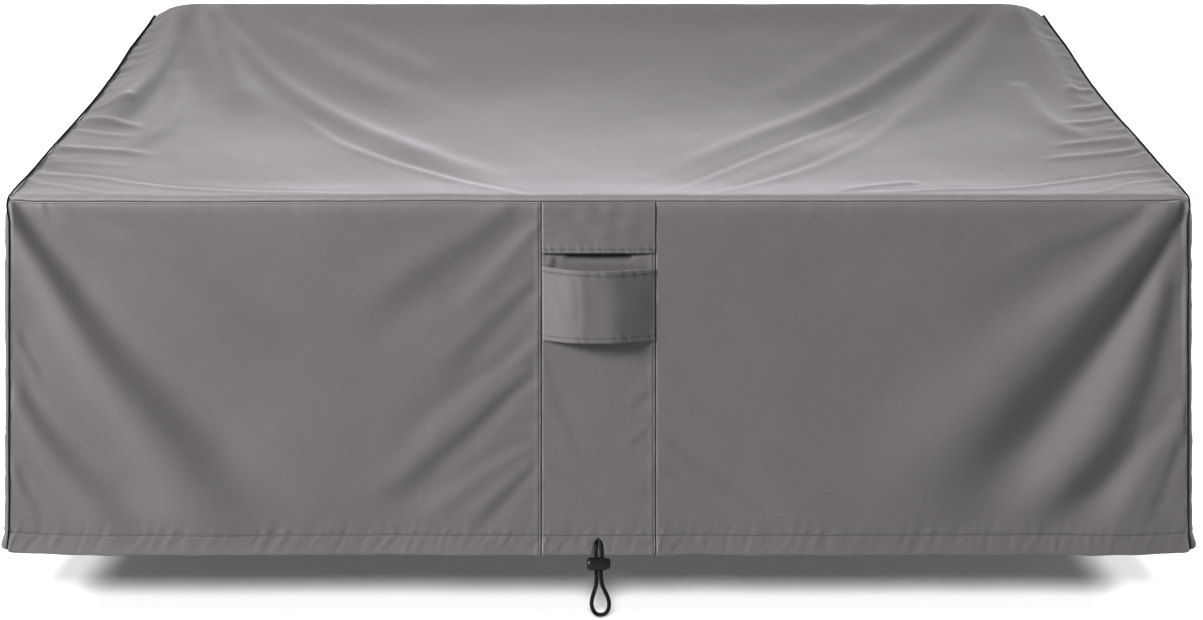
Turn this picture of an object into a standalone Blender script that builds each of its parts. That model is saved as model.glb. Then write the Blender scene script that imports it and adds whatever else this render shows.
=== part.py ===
"""A long patio furniture cover as it hangs: sewn panels of woven polyester with a rolled front edge, a
sagging top that rises to a back ridge, a hem, black piping round both ends, a vent flap, a handle strap and a
drawcord with its lock. It is hollow and open below.

X is to the right, the front faces -Y and +Z is up. The origin is the middle of the underside of the top, which
is the cover's mount. Sizes are in metres. Depth is counted back from the front face, and height up from the hem
line, until a solid is made.
"""
import math

import bmesh
import bpy
import numpy as np

# The cover
HALF_WIDTH = 1.000  # from the middle to a piped end seam, at the top
DEPTH = 0.953  # from the front face to the back face, at the top
CLOTH = 0.0016
HEM_CLOTH = 0.0032  # the hem is doubled
HEM_HEIGHT = 0.036
HEM_TOP = 0.039  # where the cloth above the hem is single again
SEAM_GAP = 0.0004  # between two panels
SIDE_FLARE = 0.030  # how far the hem stands outside the top, at each end
FRONT_LEAN = 0.030  # and at the front
BACK_LEAN = 0.020  # and at the back

# The rolled front edge, which the front seam runs along
ROLL_RADIUS = 0.025
ROLL_START = 0.600
ROLL_ANGLES = (22.5, 45.0, 70.0)
SEAM_ANGLE = 45.0

# The top: height of its piped ends and of its middle, at each depth
TOP_SECTIONS = (
    # depth, end height, middle height
    (0.0165, 0.6235, 0.6235),
    (0.045, 0.6330, 0.6300),
    (0.130, 0.6480, 0.6390),
    (0.270, 0.6770, 0.6560),
    (0.460, 0.7165, 0.6880),
    (0.600, 0.7510, 0.7270),
    (0.790, 0.8110, 0.8060),
    (0.890, 0.8460, 0.8590),
    (0.930, 0.8600, 0.8860),
)
TOP_STEPS = 22
# The ridge, where the top turns over into the back. The seam is on its second row
RIDGE_SECTIONS = (
    # depth, end height, middle height
    (0.940, 0.8630, 0.8915),
    (0.948, 0.8620, 0.8905),
    (0.953, 0.8540, 0.8830),
)
FRONT_END_REACH = 0.60  # how far in from an end the top leaves the end's height, at the front
RIDGE_END_REACH = 0.11  # and at the ridge

# The centre strip, its vent flap and its handle strap
STRIP_HALF = 0.097
FLAP_TOP = 0.607
FLAP_BOTTOM = 0.530
FLAP_BELLY = 0.0045
STRAP_TOP = 0.506
STRAP_BOTTOM = 0.380
STRAP_BELLY = 0.022
STRAP_CLOTH = 0.0020
SEWN_GAP = 0.0010  # between the strip and what is sewn over it

# The ends, which puff out a little past their piping
PIPING_RADIUS = 0.00175
PIPING_GAP = 0.0003
PUFF = 0.007
PUFF_REACH = 0.025

# Grid steps
PANEL_COLUMNS = 24
STRIP_COLUMNS = 4
FRONT_ROWS = 17
BACK_ROWS = 6
END_ROWS = 8

# Folds: two ends, a sideways bow, a half width and a rise, which is below 0 for a trough
FRONT_FOLDS = (
    # x, height, to x, height, bow, width, rise
    (-0.985, 0.605, -0.570, 0.050, -0.032, 0.036, -0.0100),  # long trough off the left top corner
    (-0.945, 0.600, -0.540, 0.120, -0.030, 0.045, 0.0060),
    (-0.990, 0.310, -0.800, 0.045, -0.012, 0.032, -0.0060),
    (-0.965, 0.360, -0.700, 0.045, -0.020, 0.035, 0.0050),
    (-0.905, 0.590, -0.650, 0.445, 0.004, 0.040, 0.0040),
    (-0.190, 0.570, -0.340, 0.480, 0.008, 0.030, -0.0045),  # short pulls at the left upright seam
    (-0.105, 0.505, -0.235, 0.365, -0.003, 0.030, -0.0050),
    (-0.125, 0.600, -0.255, 0.425, 0.010, 0.030, 0.0050),
    (-0.100, 0.300, -0.345, 0.143, 0.012, 0.034, -0.0060),
    (-0.100, 0.258, -0.280, 0.092, -0.003, 0.030, 0.0050),
    (-0.105, 0.210, -0.250, 0.045, 0.008, 0.030, -0.0045),
    (0.978, 0.605, 0.540, 0.040, 0.014, 0.038, -0.0110),  # long trough off the right top corner
    (0.950, 0.600, 0.670, 0.365, 0.000, 0.040, 0.0065),
    (0.983, 0.600, 0.705, 0.050, 0.037, 0.038, 0.0085),
    (0.920, 0.300, 0.730, 0.050, 0.040, 0.032, -0.0070),
    (0.983, 0.250, 0.873, 0.045, 0.000, 0.034, 0.0070),
    (0.845, 0.580, 0.670, 0.470, -0.019, 0.038, -0.0045),
    (0.135, 0.190, 0.305, 0.080, 0.000, 0.038, -0.0045),
)
TOP_FOLDS = (
    # x, depth, to x, depth, bow, width, rise
    (-0.845, 0.925, -0.375, 0.335, 0.016, 0.036, 0.0100),  # the fan off the left back corner
    (-0.800, 0.835, -0.360, 0.245, -0.027, 0.036, -0.0095),
    (-0.885, 0.915, -0.755, 0.615, 0.008, 0.038, 0.0065),
    (-0.952, 0.907, -0.888, 0.298, -0.011, 0.036, 0.0065),
    (-0.380, 0.340, -0.110, 0.105, 0.030, 0.034, 0.0060),
    (-0.365, 0.240, -0.120, 0.030, -0.004, 0.034, 0.0060),
    (-0.985, 0.420, -0.870, 0.450, 0.015, 0.030, 0.0045),
    (-0.985, 0.260, -0.840, 0.250, 0.000, 0.030, 0.0045),
    (-0.988, 0.110, -0.585, 0.030, -0.008, 0.028, 0.0050),
    (0.830, 0.925, 0.100, 0.165, -0.016, 0.036, 0.0100),  # the fan off the right back corner
    (0.850, 0.880, 0.290, 0.300, 0.000, 0.034, -0.0090),
    (0.875, 0.920, 0.105, 0.035, 0.020, 0.036, 0.0080),
    (0.475, 0.280, 0.160, 0.040, 0.010, 0.034, 0.0050),
    (0.950, 0.130, 0.385, 0.020, 0.024, 0.030, 0.0055),
    (0.900, 0.670, 0.925, 0.400, 0.000, 0.038, -0.0070),
    (0.960, 0.545, 0.983, 0.390, 0.000, 0.028, 0.0045),
)
FOLD_FADE = 0.060  # how far from a piped end, a hem or the ridge a fold reaches its full rise

# The notch in the front hem, where the cord comes out: half width at each height
NOTCH = (
    # height, half width
    (-0.005, 0.0112),
    (0.000, 0.0110),
    (0.008, 0.0104),
    (0.015, 0.0094),
    (0.021, 0.0076),
    (0.026, 0.0048),
    (0.030, 0.0000),
)

# The drawcord's route: sideways, depth behind the face of the hem, and height
CORD_RADIUS = 0.0035
CORD_STEP = 0.0085
CORD_ROUTE = (
    (-0.0041, 0.0094, 0.0400),
    (-0.0041, 0.0092, 0.0310),
    (-0.0041, 0.0070, 0.0215),
    (-0.0045, 0.0020, 0.0125),
    (-0.0053, -0.0030, 0.0040),
    (-0.0046, -0.0045, -0.0040),
    (-0.0040, -0.0045, -0.0100),
    (-0.0040, -0.0045, -0.0200),
    (-0.0040, -0.0045, -0.0300),
    (-0.0038, -0.0045, -0.0420),
    (-0.0044, -0.0045, -0.0530),
    (-0.0078, -0.0045, -0.0660),
    (-0.0112, -0.0045, -0.0780),
    (-0.0122, -0.0045, -0.0890),
    (-0.0094, -0.0045, -0.1000),
    (-0.0035, -0.0045, -0.1070),
    (0.0035, -0.0045, -0.1087),
    (0.0110, -0.0045, -0.1065),
    (0.0164, -0.0045, -0.0995),
    (0.0182, -0.0045, -0.0890),
    (0.0164, -0.0045, -0.0780),
    (0.0114, -0.0045, -0.0660),
    (0.0062, -0.0045, -0.0530),
    (0.0044, -0.0045, -0.0420),
    (0.0040, -0.0045, -0.0300),
    (0.0040, -0.0045, -0.0200),
    (0.0040, -0.0045, -0.0100),
    (0.0046, -0.0045, -0.0040),
    (0.0053, -0.0030, 0.0040),
    (0.0045, 0.0020, 0.0125),
    (0.0041, 0.0070, 0.0215),
    (0.0041, 0.0092, 0.0310),
    (0.0041, 0.0094, 0.0400),
)

# The cord lock: a barrel across the cord, and a button that slides in it
LOCK_HEIGHT = -0.0145
LOCK_DEPTH = -0.0045
BARREL_START = -0.0205
BARREL_END = 0.0125
BARREL_RADIUS = 0.0112
BARREL_WALL = 0.0016
BARREL_FLOOR = 0.0030
LOCK_CLEARANCE = 0.0003
BUTTON_START = -0.0125
BUTTON_END = 0.0205
BUTTON_TRAVEL = 0.0040
SLOT_HALF_LENGTH = 0.0086
SLOT_HALF_WIDTH = 0.0040

MOUNT_DEPTH = 0.475
MOUNT_HEIGHT = 0.6900  # the underside of the top's middle, at that depth
ORIGIN = np.array((0.0, MOUNT_DEPTH, MOUNT_HEIGHT))

GREY_CLOTH = (0.205, 0.190, 0.198)
BLACK_TRIM = (0.012, 0.012, 0.013)


# ---------------------------------------------------------------- shared tools
def smooth(value):
    """Ease from 0 to 1 as value goes from 0 to 1."""
    share = np.clip(value, 0.0, 1.0)
    return share * share * (3.0 - 2.0 * share)


def curve_through(knots, values, at):
    """Read a smooth curve through the knots: cubic pieces whose slope at a knot is that of its neighbours."""
    knots = np.asarray(knots, float)
    values = np.asarray(values, float)
    slopes = np.gradient(values, knots)
    piece = np.clip(np.searchsorted(knots, at) - 1, 0, len(knots) - 2)
    span = knots[piece + 1] - knots[piece]
    share = (at - knots[piece]) / span
    ahead = share * share * (3.0 - 2.0 * share)
    return (
        values[piece] * (1.0 - ahead)
        + values[piece + 1] * ahead
        + slopes[piece] * span * share * (1.0 - share) ** 2
        - slopes[piece + 1] * span * share * share * (1.0 - share)
    )


def fold_rise(across, along, folds):
    """Add up folds: each is a bell-shaped ridge or trough along a bowed line, and dies out at both ends."""
    total = np.zeros_like(across)
    for x0, y0, x1, y1, bow, width, rise in folds:
        length = math.hypot(x1 - x0, y1 - y0)
        way_x, way_y = (x1 - x0) / length, (y1 - y0) / length
        share = ((across - x0) * way_x + (along - y0) * way_y) / length
        bell = np.clip(4.0 * share * (1.0 - share), 0.0, 1.0)
        off = (along - y0) * way_x - (across - x0) * way_y - bow * bell
        total += rise * np.sqrt(bell) * np.exp(-((off / width) ** 2))
    return total


def make_material(name, colour, roughness):
    """A plain finish: colour and roughness."""
    material = bpy.data.materials.new(name)
    material.use_nodes = True
    shader = material.node_tree.nodes["Principled BSDF"]
    shader.inputs["Base Color"].default_value = (*colour, 1.0)
    shader.inputs["Roughness"].default_value = roughness
    shader.inputs["Metallic"].default_value = 0.0
    return material


def add_solid(name, points, faces, material, crease_deg=35.0):
    """A closed mesh, with its faces turned outward, in the cover's own frame."""
    mesh = bpy.data.meshes.new(name)
    mesh.from_pydata((np.asarray(points) - ORIGIN).tolist(), [], faces)
    build = bmesh.new()
    build.from_mesh(mesh)
    bmesh.ops.recalc_face_normals(build, faces=build.faces)
    build.to_mesh(mesh)
    build.free()
    mesh.shade_smooth()
    mesh.set_sharp_from_angle(angle=math.radians(crease_deg))
    solid = bpy.data.objects.new(name, mesh)
    bpy.context.scene.collection.objects.link(solid)
    solid.data.materials.append(material)
    return solid


def add_cloth(name, outer, inner, material):
    """A panel of cloth: a grid of outer points, a grid of inner points and a rim between them. Both skins split
    each cell along the outer skin's shorter diagonal, so that they stay apart where a cell is twisted.
    """
    rows, columns = outer.shape[:2]
    index = np.arange(rows * columns).reshape(rows, columns)
    low, right = index[:-1, :-1].ravel(), index[:-1, 1:].ravel()
    up, far = index[1:, :-1].ravel(), index[1:, 1:].ravel()
    flat = outer.reshape(-1, 3)
    rising = np.linalg.norm(flat[far] - flat[low], axis=1) <= np.linalg.norm(flat[up] - flat[right], axis=1)
    lower = np.stack((low, right, np.where(rising, far, up)), axis=-1)
    upper = np.stack((np.where(rising, low, right), far, up), axis=-1)
    skin = np.concatenate((lower, upper))
    back = rows * columns
    edge = np.concatenate((index[0, :-1], index[:-1, -1], index[-1, :0:-1], index[:0:-1, 0]))
    onward = np.roll(edge, -1)
    rim = np.stack((edge, onward, onward + back, edge + back), axis=-1)
    faces = skin.tolist() + (skin[:, ::-1] + back).tolist() + rim[:, ::-1].tolist()
    points = np.concatenate((flat, inner.reshape(-1, 3)))
    return add_solid(name, points, faces, material)


def cut(solid, cutter):
    """Take the cutter's shape out of a solid. The cutter stays as a hidden guide."""
    cutter.hide_render = True
    cutter.display_type = "WIRE"
    opening = solid.modifiers.new(cutter.name, "BOOLEAN")
    opening.operation = "DIFFERENCE"
    opening.object = cutter


# ---------------------------------------------------------------- the wrap: front, top and back in one strip
def lean_at(height, reach):
    """How far a hanging face stands out at a height: nothing at the roll, all of it at the hem."""
    return reach * np.clip(1.0 - height / ROLL_START, 0.0, 1.0)


def front_rows():
    """Depth and height of the front's rows, from the hem line to the start of the roll."""
    upper = np.linspace(HEM_TOP, ROLL_START, FRONT_ROWS)
    heights = np.concatenate(((0.0, HEM_HEIGHT), upper))
    return [(-lean_at(h, FRONT_LEAN), h, h) for h in heights]


def roll_rows():
    """Rows round the front edge's quarter roll."""
    rows = []
    for angle in ROLL_ANGLES:
        turn = math.radians(angle)
        height = ROLL_START + ROLL_RADIUS * math.sin(turn)
        rows.append((ROLL_RADIUS * (1.0 - math.cos(turn)), height, height))
    return rows


def top_rows():
    """Rows over the top, a little closer together at its front, without the roll's last row."""
    depth, end, middle = np.array(TOP_SECTIONS).T
    share = np.linspace(0.0, 1.0, TOP_STEPS + 1)[1:]
    at = depth[0] + (depth[-1] - depth[0]) * share**1.15
    return list(zip(at, curve_through(depth, end, at), curve_through(depth, middle, at)))


def back_depth(end_height):
    """Depth of the hanging back at its ends' height: it leans out evenly from under the ridge to the hem."""
    start = RIDGE_SECTIONS[-1][1]
    return DEPTH + BACK_LEAN * np.clip((start - end_height) / (start - HEM_TOP), 0.0, 1.0)


def back_rows():
    """Rows down the back, from under the ridge to the hem line."""
    _, end_start, middle_start = RIDGE_SECTIONS[-1]
    share = np.linspace(0.0, 1.0, BACK_ROWS + 1)[1:]
    ends = np.append(end_start + (HEM_TOP - end_start) * share, (HEM_HEIGHT, 0.0))
    middles = np.append(middle_start + (HEM_TOP - middle_start) * share, (HEM_HEIGHT, 0.0))
    return list(zip(back_depth(ends), ends, middles))


def wrap_profile():
    """All rows from the front hem over the top to the back hem, and the rows of the two long seams."""
    front, roll = front_rows(), roll_rows()
    top, ridge = top_rows(), list(RIDGE_SECTIONS)
    front_seam = len(front) + ROLL_ANGLES.index(SEAM_ANGLE)
    ridge_seam = len(front) + len(roll) + len(top) + 1
    return np.array(front + roll + top + ridge + back_rows()), front_seam, ridge_seam


def wrap_columns():
    """Shares of the half width, from piping to piping, and the columns that lie on the two upright seams."""
    strip = STRIP_HALF / HALF_WIDTH
    side = np.concatenate(((0.0,), np.linspace(0.016, 1.0 - strip, PANEL_COLUMNS)))
    left = side - 1.0
    middle = np.linspace(-strip, strip, STRIP_COLUMNS + 1)[1:-1]
    return np.concatenate((left, middle, -left[::-1])), len(side) - 1, len(side) - 1 + STRIP_COLUMNS


def half_width_at(height):
    """Distance from the middle to the piping's own line at a height."""
    return HALF_WIDTH + lean_at(height, SIDE_FLARE)


def wrap_points(profile, columns, trim):
    """Outer points of the wrap without folds. trim is what is taken off at both ends for the piping."""
    depth, end, middle = (profile[:, i][:, None] for i in range(3))
    share = np.abs(columns)[None, :]
    reach = FRONT_END_REACH + (RIDGE_END_REACH - FRONT_END_REACH) * np.clip(depth / DEPTH, 0.0, 1.0) ** 2
    height = middle + (end - middle) * np.clip((share - 1.0 + reach) / reach, 0.0, 1.0) ** 2
    across = columns[None, :] * (half_width_at(height) - trim)
    return np.stack((across, np.broadcast_to(depth, across.shape), height), axis=-1)


def surface_normals(points):
    """Outward normals of a grid: rows go up the front, columns go right. At both ends they don't lean sideways."""
    up = np.gradient(points, axis=0)
    right = np.gradient(points, axis=1)
    normal = np.cross(right, up)
    normal[:, (0, -1), 0] = 0.0
    return normal / np.linalg.norm(normal, axis=-1, keepdims=True)


def fold_wrap(points, front_seam, ridge_seam):
    """Raise the folds of the front and the top. They fade out at the ends, the seams and the hem."""
    across, depth, height = points[..., 0], points[..., 1], points[..., 2]
    from_end = smooth((HALF_WIDTH - np.abs(across)) / FOLD_FADE)
    front = fold_rise(across, height, FRONT_FOLDS) * from_end
    front *= smooth((ROLL_START - height) / 0.05) * (0.35 + 0.65 * smooth(height / FOLD_FADE))
    front *= smooth((np.abs(across) - STRIP_HALF) / 0.03)
    top = fold_rise(across, depth, TOP_FOLDS) * from_end
    top *= smooth((depth - ROLL_RADIUS) / 0.03) * smooth((DEPTH - 0.015 - depth) / 0.05)
    rise = np.zeros_like(across)
    rise[:front_seam] = front[:front_seam]
    rise[front_seam + 1 : ridge_seam] = top[front_seam + 1 : ridge_seam]
    return points + surface_normals(points) * rise[..., None]


def pull_back(grid, row_ends, column_ends):
    """Move the named edges of a panel's grid inward by half a seam's gap. Ends are pairs of true or false."""
    grid = grid.copy()
    for on, edge, beside in zip(row_ends, (0, -1), (1, -2)):
        if on:
            inward = grid[beside] - grid[edge]
            grid[edge] += inward / np.linalg.norm(inward, axis=-1, keepdims=True) * SEAM_GAP / 2.0
    for on, edge, beside in zip(column_ends, (0, -1), (1, -2)):
        if on:
            grid[:, edge, 0] += np.sign(grid[:, beside, 0] - grid[:, edge, 0]) * SEAM_GAP / 2.0
    return grid


def add_wrap(material):
    """The front's three panels, the top and the back, cut from one strip so that their seams match."""
    profile, front_seam, ridge_seam = wrap_profile()
    columns, left_seam, right_seam = wrap_columns()
    outer = wrap_points(profile, columns, PIPING_RADIUS + PIPING_GAP)
    outer = fold_wrap(outer, front_seam, ridge_seam)
    thick = np.full(len(profile), CLOTH)
    thick[[0, 1, -2, -1]] = HEM_CLOTH
    inner = outer - surface_normals(outer) * thick[:, None, None]
    inner[(0, -1), :, 2] = 0.0
    inner[:, 0, 0] += thick - CLOTH
    inner[:, -1, 0] -= thick - CLOTH
    last_row, last_column = len(profile) - 1, len(columns) - 1
    panels = (
        ("front_left_panel", 0, front_seam, 0, left_seam),
        ("front_centre_panel", 0, front_seam, left_seam, right_seam),
        ("front_right_panel", 0, front_seam, right_seam, last_column),
        ("top_panel", front_seam, ridge_seam, 0, last_column),
        ("back_panel", ridge_seam, last_row, 0, last_column),
    )
    made = {}
    for name, row, row_end, column, column_end in panels:
        part = (slice(row, row_end + 1), slice(column, column_end + 1))
        rows = (row > 0, row_end < last_row)
        sides = (column > 0, column_end < last_column)
        skins = [pull_back(skin[part], rows, sides) for skin in (outer, inner)]
        made[name] = add_cloth(name, *skins, material)
    return made


# ---------------------------------------------------------------- the two ends
def end_outline():
    """The piping's line in side view, from the front hem to the back hem, and its outward normals."""
    profile, _, _ = wrap_profile()
    line = profile[:, :2]
    way = np.gradient(line, axis=0)
    normal = np.stack((-way[:, 1], way[:, 0]), axis=-1)
    return line, normal / np.linalg.norm(normal, axis=-1, keepdims=True)


def add_end_panel(name, side, material):
    """One end. Columns stand under the outline from front to back, and rows go from the hem line up to it."""
    line, normal = end_outline()
    crown = slice(len(front_rows()) - 1, len(line) - len(back_rows()))
    head = line[crown] - normal[crown] * (PIPING_RADIUS + PIPING_GAP)
    head[0, 0] = PIPING_RADIUS + PIPING_GAP
    head[-1, 0] = DEPTH - PIPING_RADIUS - PIPING_GAP
    share = (head[:, 0] - head[0, 0]) / (head[-1, 0] - head[0, 0])
    foot = head[0, 0] - FRONT_LEAN + share * (head[-1, 0] + BACK_LEAN - head[0, 0] + FRONT_LEAN)
    up = np.linspace(0.0, 1.0, END_ROWS)[:, None]
    low, high = HEM_TOP, head[None, :, 1] - PUFF_REACH
    height = np.concatenate(
        (
            np.zeros((1, len(head))),
            np.full((1, len(head)), HEM_HEIGHT),
            low + (high - low) * up,
            head[None, :, 1] - 0.009,
            head[None, :, 1],
        )
    )
    rise = height / head[None, :, 1]
    depth = foot + (head[:, 0] - foot) * rise
    depth[:, 0] = head[0, 0] - lean_at(height[:, 0], FRONT_LEAN)
    depth[:, -1] = head[-1, 0] - DEPTH + back_depth(height[:, -1])
    from_top = head[None, :, 1] - height
    from_side = np.minimum(depth - depth[:, :1], depth[:, -1:] - depth)
    puff = PUFF * smooth(np.minimum(from_top, from_side) / PUFF_REACH)
    across = half_width_at(height) + puff
    thick = np.full((len(height), 1), CLOTH)
    thick[:2] = HEM_CLOTH
    outer = np.stack((side * across, depth, height), axis=-1)
    inner = np.stack((side * (across - thick), depth, height), axis=-1)
    inner[:, 0, 1] += thick[:, 0] - CLOTH
    inner[:, -1, 1] -= thick[:, 0] - CLOTH
    return add_cloth(name, outer, inner, material)


def add_tube(name, route, radius, resolution, material):
    """A round cord along a route of points, with closed ends."""
    curve = bpy.data.curves.new(name, "CURVE")
    curve.dimensions = "3D"
    spline = curve.splines.new("POLY")
    spline.points.add(len(route) - 1)
    spline.points.foreach_set("co", np.column_stack((route - ORIGIN, np.ones(len(route)))).ravel())
    curve.bevel_depth = radius
    curve.bevel_resolution = resolution
    curve.use_fill_caps = True
    tube = bpy.data.objects.new(name, curve)
    bpy.context.scene.collection.objects.link(tube)
    curve.materials.append(material)
    return tube


def add_piping(name, side, material):
    """Piping along one end's outline, from hem to hem."""
    line, _ = end_outline()
    across = side * half_width_at(line[:, 1])
    route = np.column_stack((across, line[:, 0], line[:, 1]))
    return add_tube(name, route, PIPING_RADIUS, 1, material)


# ---------------------------------------------------------------- the centre strip's fittings
def strip_face(height):
    """Depth of the strip's face at a height, and the depth and height parts of its outward normal."""
    turn = np.arcsin(np.clip((height - ROLL_START) / ROLL_RADIUS, 0.0, 1.0))
    lean = np.where(height < ROLL_START, math.atan(FRONT_LEAN / ROLL_START), 0.0)
    depth = ROLL_RADIUS * (1.0 - np.cos(turn)) - lean_at(height, FRONT_LEAN)
    return depth, -np.cos(turn + lean), np.sin(turn + lean)


def add_sewn_sheet(name, across, height, belly, cloth, material):
    """A sheet over the strip. It takes grids of places across and up, and how far the inner side bellies out."""
    depth, out_depth, out_height = strip_face(height)
    skins = []
    for off in (belly + SEWN_GAP + cloth, belly + SEWN_GAP):
        skins.append(np.stack((across, depth + out_depth * off, height + out_height * off), axis=-1))
    return add_cloth(name, *skins, material)


def add_vent_flap(material):
    """The vent flap: tight at its top and sides, bellied out along its free lower edge."""
    across, share = np.meshgrid(np.linspace(-1.0, 1.0, 9), np.linspace(0.0, 1.0, 6))
    height = FLAP_BOTTOM + (FLAP_TOP - FLAP_BOTTOM) * share
    belly = FLAP_BELLY * (1.0 - across**2) * (1.0 - share) ** 1.5
    across = across * (STRIP_HALF - SEAM_GAP)
    return add_sewn_sheet("vent_flap", across, height, belly, CLOTH, material)


def add_handle_strap(material):
    """The handle strap: sewn in at both ends and bowed forward, so that a hand fits behind it."""
    across, share = np.meshgrid(np.linspace(-1.0, 1.0, 15), np.linspace(0.0, 1.0, 5))
    height = STRAP_BOTTOM + (STRAP_TOP - STRAP_BOTTOM) * share - 0.002 * across * share
    belly = STRAP_BELLY * (1.0 - np.abs(across) ** 2.2)
    across = across * (STRIP_HALF - SEAM_GAP)
    return add_sewn_sheet("handle_strap", across, height, belly, STRAP_CLOTH, material)


def cut_notch(panel, material):
    """Cut the pointed notch out of the front hem."""
    half = [(-width, height) for height, width in NOTCH]
    outline = half + [(width, height) for height, width in reversed(NOTCH[:-1])]
    front = [(x, -FRONT_LEAN - 0.01, height) for x, height in outline]
    back = [(x, -FRONT_LEAN + 0.02, height) for x, height in outline]
    count = len(outline)
    faces = [list(range(count)), list(range(2 * count - 1, count - 1, -1))]
    for i in range(count):
        onward = (i + 1) % count
        faces.append([i, onward, onward + count, i + count])
    cut(panel, add_solid("hem_notch_cutter", front + back, faces, material))


# ---------------------------------------------------------------- the drawcord and its lock
def cord_points():
    """Even steps along the smooth curve through the route's points."""
    route = np.array(CORD_ROUTE) + (0.0, -FRONT_LEAN, 0.0)
    passed = np.concatenate(((0.0,), np.cumsum(np.linalg.norm(np.diff(route, axis=0), axis=1))))
    at = np.linspace(0.0, passed[-1], round(passed[-1] / CORD_STEP) + 1)
    return np.column_stack([curve_through(passed, route[:, i], at) for i in range(3)])


def add_turned(name, profile, material, segments=20):
    """Turn a closed profile of (along, radius) pairs round the lock's axis, which runs across the cord."""
    axis = np.array((0.0, LOCK_DEPTH - FRONT_LEAN, LOCK_HEIGHT))
    turn = np.linspace(0.0, 2.0 * math.pi, segments, endpoint=False)
    points, rings = [], []
    for along, radius in profile:
        if radius == 0.0:
            rings.append([len(points)] * segments)
            points.append(axis + (along, 0.0, 0.0))
            continue
        rings.append(list(range(len(points), len(points) + segments)))
        points.extend(axis + (along, radius * math.cos(t), radius * math.sin(t)) for t in turn)
    faces = []
    for ring, after in zip(rings, rings[1:]):
        for i in range(segments):
            onward = (i + 1) % segments
            faces.append(list(dict.fromkeys((ring[i], ring[onward], after[onward], after[i]))))
    return add_solid(name, points, faces, material)


def dome(edge, reach, radius, rounding, steps=3):
    """Profile of a rounded end, from the axis to the full radius. reach is 1 or -1, the way the end faces."""
    profile = [(edge, 0.0), (edge, radius - rounding)]
    for i in range(1, steps + 1):
        turn = math.radians(90.0) * i / steps
        back, inward = 1.0 - math.cos(turn), 1.0 - math.sin(turn)
        profile.append((edge - reach * rounding * back, radius - rounding * inward))
    return profile


def cut_slot(solid, name, start, end, material):
    """Cut the cord's oblong hole down through a turned solid, between two places across the lock."""
    y, z = LOCK_DEPTH - FRONT_LEAN, LOCK_HEIGHT
    outline = []
    for centre, first in ((end - SLOT_HALF_WIDTH, -90.0), (start + SLOT_HALF_WIDTH, 90.0)):
        for i in range(7):
            turn = math.radians(first + 30.0 * i)
            outline.append((centre + SLOT_HALF_WIDTH * math.cos(turn), y + SLOT_HALF_WIDTH * math.sin(turn)))
    count = len(outline)
    low = [(u, v, z - 0.02) for u, v in outline]
    high = [(u, v, z + 0.02) for u, v in outline]
    faces = [list(range(count - 1, -1, -1)), list(range(count, 2 * count))]
    for i in range(count):
        onward = (i + 1) % count
        faces.append([i, onward, onward + count, i + count])
    cut(solid, add_solid(name, low + high, faces, material))


def add_cord_lock(material):
    """The barrel, open at its right end, and the button in it, both with the cord's hole through them."""
    bore = BARREL_RADIUS - BARREL_WALL
    outside = dome(BARREL_START, -1.0, BARREL_RADIUS, 0.006)
    inside = [
        (BARREL_END - 0.0008, BARREL_RADIUS),
        (BARREL_END, BARREL_RADIUS - 0.0006),
        (BARREL_END, bore),
        (BARREL_START + BARREL_FLOOR, bore),
        (BARREL_START + BARREL_FLOOR, 0.0),
    ]
    barrel = add_turned("cord_lock", outside + inside, material)
    cut_slot(barrel, "barrel_slot_cutter", -SLOT_HALF_LENGTH, SLOT_HALF_LENGTH, material)
    button_radius = bore - LOCK_CLEARANCE
    nose = dome(BUTTON_END, 1.0, button_radius, 0.0045)
    foot = [(BUTTON_START, 0.0), (BUTTON_START, button_radius)]
    button = add_turned("lock_button", foot + nose[::-1], material)
    cut_slot(button, "button_slot_cutter", -SLOT_HALF_LENGTH, SLOT_HALF_LENGTH + BUTTON_TRAVEL, material)


def main():
    """Clear the scene and build the cover."""
    for thing in list(bpy.data.objects):
        bpy.data.objects.remove(thing)
    cloth = make_material("grey_cloth", GREY_CLOTH, 0.85)
    strap_cloth = make_material("strap_cloth", GREY_CLOTH, 0.80)
    piping = make_material("black_piping", BLACK_TRIM, 0.65)
    cord = make_material("black_cord", BLACK_TRIM, 0.70)
    plastic = make_material("black_plastic", BLACK_TRIM, 0.35)
    panels = add_wrap(cloth)
    cut_notch(panels["front_centre_panel"], cloth)
    add_vent_flap(cloth)
    add_handle_strap(strap_cloth)
    for name, side in (("left", -1.0), ("right", 1.0)):
        add_end_panel(f"side_panel_{name}", side, cloth)
        add_piping(f"piping_{name}", side, piping)
    add_tube("drawcord", cord_points(), CORD_RADIUS, 2, cord)
    add_cord_lock(plastic)


main()
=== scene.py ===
"""The looks of the patio furniture cover: fine woven panels with their folds, seams, stitching and hem,
piping, a vent flap, a handle strap, the drawcord and its lock, with a pale floor, soft studio light and
the camera.

X is to the right, the front faces -Y and +Z is up. Sizes are in metres. Depth is counted back from the
front face and height up from the hem line, until a piece is made.
"""
import math

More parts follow.
